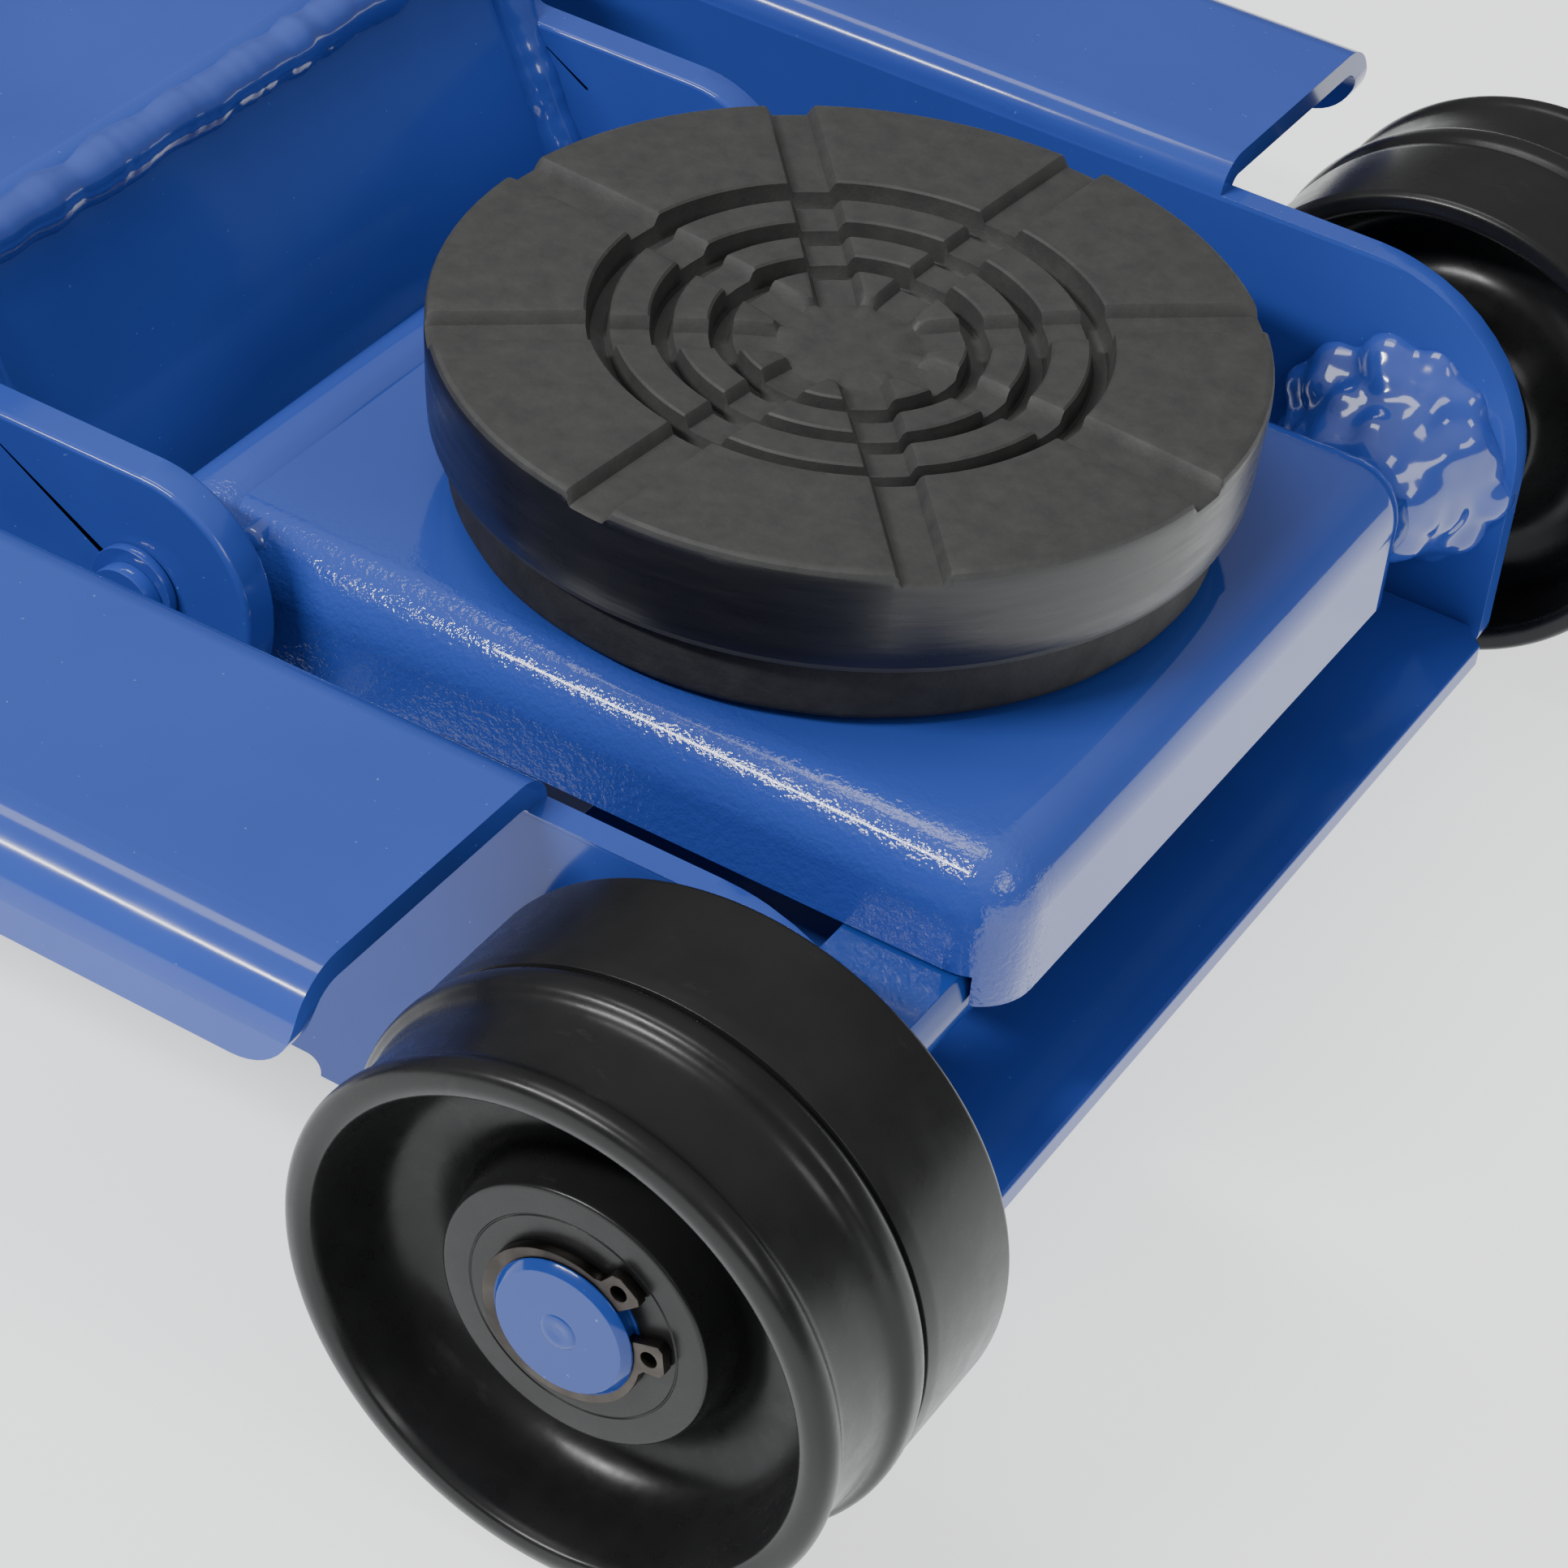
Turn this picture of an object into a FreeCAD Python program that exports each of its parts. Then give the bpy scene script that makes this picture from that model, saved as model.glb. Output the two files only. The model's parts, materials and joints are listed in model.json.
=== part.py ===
import FreeCAD, Part
import math
import os
import re
import Sketcher
from FreeCAD import Vector

# Low-profile hydraulic trolley jack, lowered, built as an assembly of separate pieces.
#
# Millimetres. +X points forward (towards the front wheels), +Y left, +Z up. The origin is on the floor,
# under the middle of the chassis. Every size that can be set by itself is a cell of the sheet "dims".
# Sizes that follow from others are in DERIVED. The expressions below are written with both kinds of name,
# and x is counted from the middle of the lifting saddle.

DIMENSIONS = [
    # front wheels and axle
    ("axleX", 49.5), ("wheelRadius", 40.7), ("spacerWidth", 5.5), ("wheelWidth", 42.0), ("hubInset", 6.1),
    ("rimWidth", 5.7), ("hubWall", 9.2), ("ribHeight", 1.3), ("wheelDish", 19.0), ("wheelBackDish", 13.0),
    ("rimTaper", 5.0), ("treadDrop", 2.5), ("axleRadius", 10.0), ("axleTail", 3.1), ("axleChamfer", 1.0),
    ("axleFlatMargin", 12.0), ("weldLeg", 10.0), ("weldLip", 3.0), ("weldLength", 9.0),
    # fits
    ("runningGap", 0.05), ("faceGap", 0.3), ("seatGap", 0.5),
    # retaining rings
    ("circlipDepth", 0.8), ("circlipThickness", 1.5), ("circlipWidth", 2.4), ("circlipLug", 3.0),
    ("circlipEye", 1.1), ("circlipLugReach", 3.2), ("circlipLugOffset", 4.6), ("circlipOpening", 2.0),
    ("circlipSlack", 0.05), ("circlipStub", 4.0),
    # chassis plates
    ("plate", 4.0), ("flangeTop", 78.7), ("skirtGap", 1.5), ("skirtDrop", 14.7), ("flangeFront", 13.0),
    ("innerBend", 6.0), ("outerBend", 9.0), ("lobeFront", 69.0), ("lobeStep", 5.2), ("lobeRadius", 30.0),
    ("lobeBottom", 11.0), ("lobeRear", 18.0), ("webBottom", 14.0), ("floorTop", 16.0),
    ("floorFront", 71.0),
    ("rearMargin", 10.0), ("bracketPlate", 6.0), ("bracketGap", 5.0), ("bracketReach", 55.0),
    ("bracketCrown", 24.0), ("bracketHump", 20.0), ("bracketFillet", 16.0), ("bracketBoltRadius", 5.0),
    ("bracketNut", 4.0), ("basePlate", 4.0), ("baseRadius", 6.0), ("baseMargin", 8.0),
    # arm and head
    ("headPivotX", 68.0), ("headPivotZ", 56.0), ("armPivotX", 455.0), ("armPivotZ", 115.0),
    ("armEndRadius", 19.0), ("armCheekPlate", 6.0), ("armTopFront", 107.0), ("armPlate", 5.0),
    ("armShaftRadius", 12.5), ("armBossWall", 7.5), ("armRearWall", 6.0), ("armTopSink", 1.0),
    ("armKnee", 13.0), ("armShoulderRise", 19.0), ("armNose", 31.0), ("armRearFillet", 18.0),
    ("leverFillet", 12.0), ("frontPlateRun", 13.0), ("frontPlateDrop", 20.0),
    ("frontPlateNotch", 10.0), ("frontPlateCorner", 21.0),
    ("headTop", 63.5), ("headHalfWidth", 61.5), ("headSideGap", 4.0), ("headPlate", 5.0),
    ("headTubeLap", 3.0), ("headWall", 17.5), ("headFlange", 22.5),
    ("headBend", 9.0),
    ("headPinRadius", 5.5), ("headTubeWall", 3.0), ("headEar", 9.0), ("headEarFillet", 8.0),
    ("linkOffsetX", 20.0), ("linkOffsetZ", 22.0), ("linkGap", 4.5), ("linkPlate", 5.0),
    ("linkPinRadius", 4.5), ("linkEyeWall", 3.5), ("linkPinHead", 2.5),
    # saddle
    ("saddleDiscRadius", 55.5), ("discThickness", 11.5), ("padLip", 3.5), ("padThickness", 16.7),
    ("padRadialGroove", 7.6), ("padGrooveDepth", 2.2), ("padRingDepth", 4.0), ("padEdge", 1.2),
    ("saddlePostRadius", 12.0), ("postCollar", 4.0),
    # lifting gear
    ("leverRadius", 70.0), ("leverHalfSwing", 32.0), ("leverEnd", 15.0), ("ramRollerRadius", 12.0),
    ("ramRollerHalf", 21.0), ("rollerPinRadius", 8.0), ("ramGap", 1.0), ("ramAxisZ", 52.0),
    ("ramRadius", 16.0), ("ramTail", 42.0), ("cylinderWall", 14.0), ("cylinderLength", 53.0),
    ("glandLength", 8.0), ("glandLip", 5.0), ("glandWall", 7.0), ("crossheadGap", 3.9),
    ("crossheadPlate", 8.0), ("blockLength", 85.0), ("blockHalfWidth", 48.0), ("returnSpringGap", 10.0),
    ("returnSpringRadius", 6.5), ("returnSpringWire", 1.8), ("plugRadius", 7.0), ("plugHeight", 6.0),
    ("valveRadius", 6.0), ("valveHead", 9.0),
    # pump and handle
    ("handleSetback", 50.0), ("handlePivotZ", 125.0), ("handleBoltRadius", 8.0), ("yokeWall", 6.0),
    ("pumpArm", 26.0), ("pumpHalfSwing", 22.5), ("pumpRollerRadius", 9.0), ("pumpRollerHalf", 12.0),
    ("pumpPinRadius", 4.0), ("pumpLever", 6.0), ("plungerRadius", 7.0), ("plungerGap", 0.5),
    ("plungerCollar", 3.5), ("pumpSpringWire", 2.4), ("barrelWall", 4.0), ("barrelCollar", 5.0),
    ("handleLean", 4.0), ("handleRadius", 16.0), ("handleWall", 2.5), ("socketLength", 120.0),
    ("socketWall", 5.0), ("socketFloor", 8.0), ("lowerTubeLength", 400.0), ("tubeLap", 70.0),
    ("handleLength", 760.0), ("gripSwell", 2.5), ("gripLength", 125.0), ("gripCap", 4.0),
    ("clampDrop", 25.0), ("clampHeight", 6.0), ("clampWing", 12.0),
    # rear casters
    ("casterSetback", 42.0), ("casterTrail", 22.0), ("casterWheelRadius", 27.0),
    ("casterWheelWidth", 20.0),
    ("casterCrownRadius", 18.0), ("casterSwingGap", 3.0), ("casterHeadroom", 8.0), ("raceHeight", 4.2),
    ("kingpinRadius", 6.0), ("kingpinHead", 4.0), ("kingpinNut", 7.0), ("forkPlate", 3.0),
    ("forkGap", 1.0), ("forkEnd", 8.0), ("casterAxleRadius", 5.0), ("casterAxleNut", 5.0),
]
DERIVED = {
    # across the jack, from the head outwards
    "armCheekInner": "headHalfWidth + headSideGap",
    "cheekOuter": "armCheekInner + armCheekPlate",
    "linkInner": "cheekOuter + linkGap",
    "bracketInner": "linkInner + linkPlate + bracketGap",
    "webInner": "bracketInner + bracketPlate",
    "webOuter": "webInner + plate",
    "wheelInner": "webOuter + spacerWidth",
    "wheelOuter": "wheelInner + wheelWidth",
    "wheelMiddle": "(wheelInner + wheelOuter) / 2",
    "hubFace": "wheelOuter - hubInset",
    "axleEnd": "hubFace + axleTail",
    "flangeOuter": "wheelOuter + skirtGap",
    "casterY": "(webOuter + flangeOuter - plate) / 2",
    # radii round the shafts and pins
    "rimEdgeRadius": "wheelRadius - rimWidth",
    "hubRadius": "axleRadius + hubWall",
    "armBossRadius": "armShaftRadius + armBossWall",
    "armRearRadius": "armBossRadius + armRearWall",
    "headTubeRadius": "headPinRadius + headTubeWall",
    "linkEye": "linkPinRadius + linkEyeWall",
    "padRadius": "saddleDiscRadius + padLip",
    "cylinderRadius": "ramRadius + cylinderWall",
    "glandRadius": "ramRadius + glandWall",
    "yokeTubeRadius": "handleBoltRadius + yokeWall",
    "gripRadius": "handleRadius + gripSwell",
    "socketRadius": "handleRadius + runningGap + socketWall",
    # heights
    "flangeUnder": "flangeTop - plate",
    "skirtBottom": "flangeTop - skirtDrop",
    "lobeTop": "flangeTop - lobeStep",
    "headUnder": "headTop - headPlate",
    "headWallBottom": "headTop - headWall",
    "headFlangeBottom": "headTop - headFlange",
    "axleFlat": "headWallBottom - seatGap - wheelRadius",
    "discBottom": "headTop + faceGap",
    "saddleSeam": "discBottom + discThickness",
    "padTop": "saddleSeam + padThickness",
    "armEndTop": "headPivotZ + armEndRadius",
    "armShoulderTop": "armEndTop + armShoulderRise",
    "armRearTop": "armPivotZ + armRearRadius",
    "blockBottom": "webBottom + basePlate",
    "blockTop": "ramAxisZ + cylinderRadius",
    "crownTop": "flangeUnder - raceHeight",
    "forkTop": "crownTop - faceGap",
    "forkUnder": "forkTop - forkPlate",
    "casterNotchZ": "2 * casterWheelRadius + casterHeadroom",
    # along the jack, from the lever rearwards
    "leverX": "-armPivotX - leverRadius * sin(leverHalfSwing)",
    "leverZ": "armPivotZ - leverRadius * cos(leverHalfSwing)",
    "crossheadFront": "leverX - ramRollerRadius - ramGap",
    "crossheadRear": "crossheadFront - crossheadPlate",
    "cylinderFront": "glandLip + crossheadGap - crossheadRear",
    "blockFront": "cylinderFront + cylinderLength",
    "blockRear": "blockFront + blockLength",
    "ramRear": "blockRear - ramTail",
    "handlePivotX": "blockRear - handleSetback",
    "casterX": "blockRear - casterSetback",
    "casterNotchX": "casterX - casterTrail - casterWheelRadius - casterSwingGap",
    "rearEnd": "blockRear + rearMargin",
    "headFront": "axleX + axleRadius + seatGap + headPlate",
    "headRear": "headPivotX - headTubeLap",
    "shift": "(rearEnd - axleX - wheelRadius) / 2",
    # levelling links
    "linkFrontX": "linkOffsetX - headPivotX",
    "linkFrontZ": "headPivotZ - linkOffsetZ",
    "linkRearX": "linkOffsetX - armPivotX",
    "linkRearZ": "armPivotZ - linkOffsetZ",
    # pump
    "pumpRollerX": "-handlePivotX - pumpArm * cos(pumpHalfSwing)",
    "pumpRollerZ": "handlePivotZ + pumpArm * sin(pumpHalfSwing)",
    "plungerX": "-handlePivotX - pumpArm * (1 + cos(pumpHalfSwing)) / 2",
    "plungerTop": "pumpRollerZ - pumpRollerRadius - plungerGap",
    "collarTop": "plungerTop - 4",
    "collarUnder": "plungerTop - 7",
    "barrelTop": "blockTop + barrelCollar",
    "barrelBottom": "blockBottom + 12",
    "returnSpringY": "cylinderRadius + returnSpringGap",
    "socketStart": "yokeTubeRadius + socketFloor",
    # casters
    "forkInner": "casterWheelWidth / 2 + forkGap",
    "forkOuter": "forkInner + forkPlate",
}
ALIASES = {name for name, size in DIMENSIONS}

doc = FreeCAD.newDocument("TrolleyJack")
sheet = doc.addObject("Spreadsheet::Sheet", "dims")
for row, (name, size) in enumerate(DIMENSIONS, start=1):
    sheet.set(f"A{row}", str(size))
    sheet.setAlias(f"A{row}", name)
doc.recompute()

nodes = []
START = 1  # the point of a sketch line that it starts from
CENTRE = 3  # the centre point of a sketch circle
ON_AXIS = 1e-9
NOTHING_CUT = 1e-3


# ---------------------------------------------------------------------------------------------
# expressions
# ---------------------------------------------------------------------------------------------
def look_up(match):
    name = match[0]
    if name in DERIVED:
        return "(" + bound(DERIVED[name]) + ")"
    return "dims." + name if name in ALIASES else name


def bound(expression):
    """The expression as the document reads it, with each name looked up in the sheet."""
    return re.sub(r"[A-Za-z_]\w*", look_up, expression)


def number(expression):
    return float(sheet.evalExpression(bound(expression)))


def bind(obj, path, expression):
    obj.setExpression(path, bound(expression))


# ---------------------------------------------------------------------------------------------
# building blocks
# ---------------------------------------------------------------------------------------------
def place(obj, x="shift", y="0", z="0"):
    """Put a piece in the jack: by default its own x counts from the middle of the saddle."""
    bind(obj, "Placement.Base.x", x)
    bind(obj, "Placement.Base.y", y)
    bind(obj, "Placement.Base.z", z)


def node(obj, label):
    obj.Label = label
    nodes.append(obj)
    return obj


def new_body(label):
    body = doc.addObject("PartDesign::Body", label)
    place(body)
    return node(body, label)


def origin_feature(body, role):
    return next(feature for feature in body.Origin.OriginFeatures if feature.Role == role)


def new_sketch(body, role, start="0"):
    sketch = body.newObject("Sketcher::SketchObject", body.Name + "_sketch")
    sketch.AttachmentSupport = [(origin_feature(body, role), "")]
    sketch.MapMode = "FlatFace"
    bind(sketch, "AttachmentOffset.Base.z", start)
    return sketch


def polygon(sketch, points):
    """Closed outline whose every corner is bound to the sheet."""
    corners = [Vector(number(x), number(y), 0) for x, y in points]
    first = sketch.GeometryCount
    count = len(corners)
    for index, corner in enumerate(corners):
        sketch.addGeometry(Part.LineSegment(corner, corners[(index + 1) % count]), False)
    for index, (x, y) in enumerate(points):
        line = first + index
        sketch.addConstraint(Sketcher.Constraint("Coincident", line, 2, first + (index + 1) % count, 1))
        bind_distance(sketch, "DistanceX", line, START, x, corners[index].x)
        bind_distance(sketch, "DistanceY", line, START, y, corners[index].y)


def bind_distance(sketch, kind, geometry, point, expression, size):
    """Tie one point of a piece of geometry to the sketch's origin, along one direction."""
    if abs(size) < ON_AXIS:
        axis = -2 if kind == "DistanceX" else -1
        sketch.addConstraint(Sketcher.Constraint("PointOnObject", geometry, point, axis))
        return
    constraint = sketch.addConstraint(Sketcher.Constraint(kind, -1, 1, geometry, point, size))
    bind(sketch, f"Constraints[{constraint}]", expression)


def circle(sketch, x, y, radius):
    centre = Vector(number(x), number(y), 0)
    shape = sketch.addGeometry(Part.Circle(centre, Vector(0, 0, 1), number(radius)), False)
    bind_distance(sketch, "DistanceX", shape, CENTRE, x, centre.x)
    bind_distance(sketch, "DistanceY", shape, CENTRE, y, centre.y)
    constraint = sketch.addConstraint(Sketcher.Constraint("Radius", shape, number(radius)))
    bind(sketch, f"Constraints[{constraint}]", radius)


def pad(body, role, start, length, points=None, circles=()):
    sketch = new_sketch(body, role, start)
    if points:
        polygon(sketch, points)
    for x, y, radius in circles:
        circle(sketch, x, y, radius)
    feature = body.newObject("PartDesign::Pad", body.Name + "_pad")
    feature.Profile = sketch
    bind(feature, "Length", length)
    doc.recompute()
    return feature


def pocket(body, role, start, length, points=None, circles=()):
    """Cut along the plane's normal, from start over length. It has to take material away."""
    before = body.Shape.Volume
    sketch = new_sketch(body, role, start)
    if points:
        polygon(sketch, points)
    for x, y, radius in circles:
        circle(sketch, x, y, radius)
    feature = body.newObject("PartDesign::Pocket", body.Name + "_pocket")
    feature.Profile = sketch
    feature.Reversed = True
    bind(feature, "Length", length)
    doc.recompute()
    if body.Shape.Volume > before - NOTHING_CUT:
        raise RuntimeError(f"{body.Label}: a pocket cuts nothing")
    return feature


def lathe(body, points, axis="V_Axis", role="XY_Plane", cut=False):
    """Turn an outline about an axis of its sketch."""
    before = body.Shape.Volume if cut else 0
    sketch = new_sketch(body, role)
    polygon(sketch, points)
    kind = "PartDesign::Groove" if cut else "PartDesign::Revolution"
    feature = body.newObject(kind, body.Name + "_turned")
    feature.Profile = sketch
    feature.ReferenceAxis = (sketch, [axis])
    feature.Angle = 360
    doc.recompute()
    if cut and body.Shape.Volume > before - NOTHING_CUT:
        raise RuntimeError(f"{body.Label}: a groove cuts nothing")
    return feature


def edges_along(shape, axis, places):
    """Names of the straight edges along axis that pass through the given places."""
    found = []
    for index, edge in enumerate(shape.Edges, start=1):
        ends = [vertex.Point for vertex in edge.Vertexes]
        if len(ends) != 2:
            continue
        chord = ends[1] - ends[0]
        if abs(chord.Length - edge.Length) > 1e-6 or chord.cross(axis).Length > 1e-6:
            continue
        middle = (ends[0] + ends[1]) * 0.5
        for spot in places:
            if (middle - spot).cross(axis).Length < 1e-3:
                found.append(f"Edge{index}")
    return found


def dress(body, kind, axis, places, size):
    """Fillet or chamfer the edges along axis that pass through the places."""
    base = body.Tip
    local = base.Shape
    spots = [Vector(*(number(part) for part in place_)) for place_ in places]
    names = edges_along(local, axis, spots)
    if len(names) < len(places):
        raise RuntimeError(f"{body.Label}: {len(names)} of {len(places)} edges found")
    feature = body.newObject("PartDesign::" + kind, body.Name + "_" + kind.lower())
    feature.Base = (base, names)
    bind(feature, "Radius" if kind == "Fillet" else "Size", size)
    doc.recompute()
    if feature.Shape.isNull() or not feature.Shape.isValid():
        raise RuntimeError(f"{body.Label}: {kind} {size} fails at {places}")
    return feature


def fillet(body, axis, places, radius):
    return dress(body, "Fillet", axis, places, radius)


def chamfer(body, axis, places, size):
    return dress(body, "Chamfer", axis, places, size)


ALONG_X = Vector(1, 0, 0)
ALONG_Y = Vector(0, 1, 0)
ALONG_Z = Vector(0, 0, 1)


def across(low, high):
    """Start and length of a pad on the XZ plane, whose normal is -Y, that fills y from low to high."""
    return f"-({high})", f"({high}) - ({low})"


def side_span(side, inner, outer):
    """The same for a plate on one side: side is 1 on the left and -1 on the right."""
    return across(inner, outer) if side > 0 else across(f"-({outer})", f"-({inner})")


def side_name(side):
    return "left" if side > 0 else "right"


def tube_profile(inner, outer, low, high):
    """Half section of a tube about the sketch's vertical axis."""
    return [(inner, low), (outer, low), (outer, high), (inner, high)]


def primitive(kind, label, **sizes):
    obj = doc.addObject("Part::" + kind, label)
    for path, expression in sizes.items():
        bind(obj, path, expression)
    return obj


def cylinder_x(label, x, y, z, radius, length):
    obj = primitive("Cylinder", label, Radius=radius, Height=length)
    obj.Placement.Rotation = FreeCAD.Rotation(ALONG_Y, 90)
    place(obj, x, y, z)
    return obj


def cylinder_y(label, x, y, z, radius, length):
    obj = primitive("Cylinder", label, Radius=radius, Height=length)
    obj.Placement.Rotation = FreeCAD.Rotation(ALONG_X, -90)
    place(obj, x, y, z)
    return obj


def cylinder_z(label, x, y, z, radius, length):
    obj = primitive("Cylinder", label, Radius=radius, Height=length)
    place(obj, x, y, z)
    return obj


def hexagon(label, x, y, z, across_corners_radius, length, rotation):
    obj = primitive("Prism", label, Circumradius=across_corners_radius, Height=length)
    obj.Polygon = 6
    obj.Placement.Rotation = rotation
    place(obj, x, y, z)
    return obj


def block(label, low, high):
    obj = primitive("Box", label)
    for path, near, far in zip(("Length", "Width", "Height"), low, high):
        bind(obj, path, f"({far}) - ({near})")
    place(obj, *low)
    return obj


def fuse(label, *pieces):
    obj = doc.addObject("Part::MultiFuse", label)
    obj.Shapes = list(pieces)
    obj.Refine = True
    return obj


def cut(label, base, tool):
    obj = doc.addObject("Part::Cut", label)
    obj.Base = base
    obj.Tool = tool
    return obj


def group(label, *pieces):
    """Identical pieces that share one node stay separate solids."""
    obj = doc.addObject("Part::Compound", label)
    obj.Links = list(pieces)
    return node(obj, label)


def moved(x):
    """A place counted from the saddle, as a place in the jack's frame."""
    return f"({x}) + shift"


# ---------------------------------------------------------------------------------------------
# chassis
# ---------------------------------------------------------------------------------------------
def side_frame(side):
    """One folded plate: upright web with a front lobe, flat top flange and short outer skirt."""
    body = new_body("side_frame_" + side_name(side))
    outline = [
        ("lobeFront", "lobeBottom"), ("lobeFront", "lobeTop"), ("flangeFront", "lobeTop"),
        ("flangeFront", "flangeTop"), ("-rearEnd", "flangeTop"), ("-rearEnd", "casterNotchZ"),
        ("-casterNotchX", "casterNotchZ"), ("-casterNotchX", "webBottom"), ("-lobeRear", "webBottom"),
        ("-lobeRear", "lobeBottom"),
    ]
    pad(body, "XZ_Plane", *side_span(side, "webInner", "webOuter"), outline)
    section = [
        (f"{side} * webInner", "flangeTop"), (f"{side} * webInner", "flangeUnder"),
        (f"{side} * (flangeOuter - plate)", "flangeUnder"),
        (f"{side} * (flangeOuter - plate)", "skirtBottom"),
        (f"{side} * flangeOuter", "skirtBottom"), (f"{side} * flangeOuter", "flangeTop"),
    ]
    pad(body, "YZ_Plane", "-rearEnd", "rearEnd + flangeFront", section)
    fillet(body, ALONG_X, [("0", f"{side} * webInner", "flangeTop")], "innerBend")
    fillet(body, ALONG_X, [("0", f"{side} * flangeOuter", "flangeTop")], "outerBend")
    fillet(body, ALONG_X, [("0", f"{side} * webOuter", "flangeUnder")], "innerBend - plate")
    fillet(body, ALONG_X, [("0", f"{side} * (flangeOuter - plate)", "flangeUnder")], "outerBend - plate")
    fillet(body, ALONG_Y, [("lobeFront", "0", "lobeTop")], "lobeRadius")
    fillet(body, ALONG_Y, [("lobeFront", "0", "lobeBottom")], "plate")
    fillet(body, ALONG_Y, [("-lobeRear", "0", "webBottom")], "(webBottom - lobeBottom) * 0.8")
    fillet(body, ALONG_Y, [("flangeFront", "0", "skirtBottom"),
                           ("-rearEnd", "0", "skirtBottom")], "outerBend")
    start, length = side_span(side, "webInner - plate", "webOuter + plate")
    holes = [("axleX", "wheelRadius", "axleRadius + runningGap")]
    holes += [(x, z, "bracketBoltRadius + runningGap") for x, z in BRACKET_BOLTS]
    pocket(body, "XZ_Plane", start, length, circles=holes)
    pocket(body, "XY_Plane", "flangeUnder - 1", "plate + 2",
           circles=[("-casterX", f"{side} * casterY", "kingpinRadius + runningGap")])


BRACKET_BOLTS = [("30 - armPivotX", "35"), ("-armPivotX - 90", "35"), ("-armPivotX - 30", "62")]


def front_floor_plate():
    """Flat plate that ties the two lobes together under the head."""
    body = new_body("front_floor_plate")
    outline = [
        ("floorFront", "-webInner"), ("floorFront", "webInner"),
        ("-lobeRear", "webInner"), ("-lobeRear", "-webInner"),
    ]
    pad(body, "XY_Plane", "floorTop - plate", "plate", outline)
    corners = [("floorFront", "-webInner", "0"), ("floorFront", "webInner", "0")]
    chamfer(body, ALONG_Z, corners, "plate")


def front_axle():
    """Round bar through both webs, milled flat on top where the lowered head comes down on it."""
    body = new_body("front_axle")
    place(body, moved("axleX"), "0", "wheelRadius")
    profile = [
        ("0", "-axleEnd"), ("axleRadius - axleChamfer", "-axleEnd"),
        ("axleRadius", "axleChamfer - axleEnd"),
        ("axleRadius", "axleEnd - axleChamfer"), ("axleRadius - axleChamfer", "axleEnd"),
        ("0", "axleEnd"),
    ]
    lathe(body, profile)
    above = [("-axleRadius - 1", "axleFlat"), ("axleRadius + 1", "axleFlat"),
             ("axleRadius + 1", "axleRadius + 1"), ("-axleRadius - 1", "axleRadius + 1")]
    pocket(body, "XZ_Plane", *across("axleFlatMargin - webInner", "webInner - axleFlatMargin"), above)
    for side in (1, -1):
        near = f"{side} * (hubFace + faceGap - circlipSlack)"
        far = f"{side} * (hubFace + faceGap + circlipThickness + circlipSlack)"
        lathe(body, tube_profile("axleRadius - circlipDepth", "axleRadius + 2", near, far), cut=True)


def axle_welds():
    """Weld metal round the bar where it meets the inner face of each web."""
    beads = []
    for side in (1, -1):
        name = "axle_weld_" + side_name(side)
        bead = primitive("Cone", name + "_cone", Radius1="axleRadius + weldLeg",
                         Radius2="axleRadius + weldLip", Height="weldLength")
        bead.Placement.Rotation = FreeCAD.Rotation(ALONG_X, 90 * side)
        place(bead, moved("axleX"), f"{side} * webInner", "wheelRadius")
        bar = cylinder_y(name + "_bar", moved("axleX"), "-webInner", "wheelRadius", "axleRadius",
                         "2 * webInner")
        beads.append(cut(name, bead, bar))
    group("axle_welds", *beads)


def ring_y(label, x, y, z, inner, outer, thickness):
    """Flat ring about an axis along Y, from y to y + thickness."""
    rim = cylinder_y(label + "_rim", x, y, z, outer, thickness)
    bore = cylinder_y(label + "_bore", x, y, z, inner, thickness)
    return cut(label, rim, bore)


def wheel_spacers():
    spacers = [ring_y("spacer_" + side, moved("axleX"), start, "wheelRadius", "axleRadius + runningGap",
                      "hubRadius - rimTaper", "spacerWidth - faceGap")
               for side, start in (("left", "webOuter"), ("right", "faceGap - wheelInner"))]
    group("wheel_spacers", *spacers)


def circlip(label, x, y, z, shaft, turn=0):
    """External retaining ring with two eared ends, in the XZ plane, from y to y + its thickness."""
    inner = f"{shaft} - circlipDepth + circlipSlack / 2"
    ring = cylinder_y(label + "_ring", "0", "0", "0", f"{shaft} + circlipWidth", "circlipThickness")
    bore = cylinder_y(label + "_bore", "0", "0", "0", inner, "circlipThickness")
    ears = []
    holes = []
    for index, sign in enumerate((1, -1)):
        along = f"({shaft} + circlipLugReach)"
        aside = f"{sign} * circlipLugOffset"
        ears.append(cylinder_y(f"{label}_ear{index}", along, "0", aside, "circlipLug",
                               "circlipThickness"))
        holes.append(cylinder_y(f"{label}_eye{index}", along, "0", aside, "circlipEye",
                                "circlipThickness"))
    gap = block(label + "_gap", ("0", "0", "-circlipOpening"),
                (f"{shaft} + circlipLugReach + 2 * circlipLug", "circlipThickness", "circlipOpening"))
    solid = cut(label + "_cut", fuse(label + "_body", ring, *ears), fuse(label + "_voids", bore, gap,
                                                                         *holes))
    solid.Placement.Rotation = FreeCAD.Rotation(ALONG_Y, turn)
    place(solid, x, y, z)
    return solid


def groove_starts(clip):
    """Where the two grooves of a pin begin along Y, for rings that start at clip on either side."""
    return f"{clip} - circlipSlack", f"-{clip} - circlipThickness - circlipSlack"


def front_wheel_circlips():
    reach = "(hubFace + faceGap)"
    left = circlip("wheel_clip_left", moved("axleX"), reach, "wheelRadius", "axleRadius")
    right = circlip("wheel_clip_right", moved("axleX"), f"-{reach} - circlipThickness", "wheelRadius",
                    "axleRadius")
    group("front_wheel_circlips", left, right)


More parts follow.
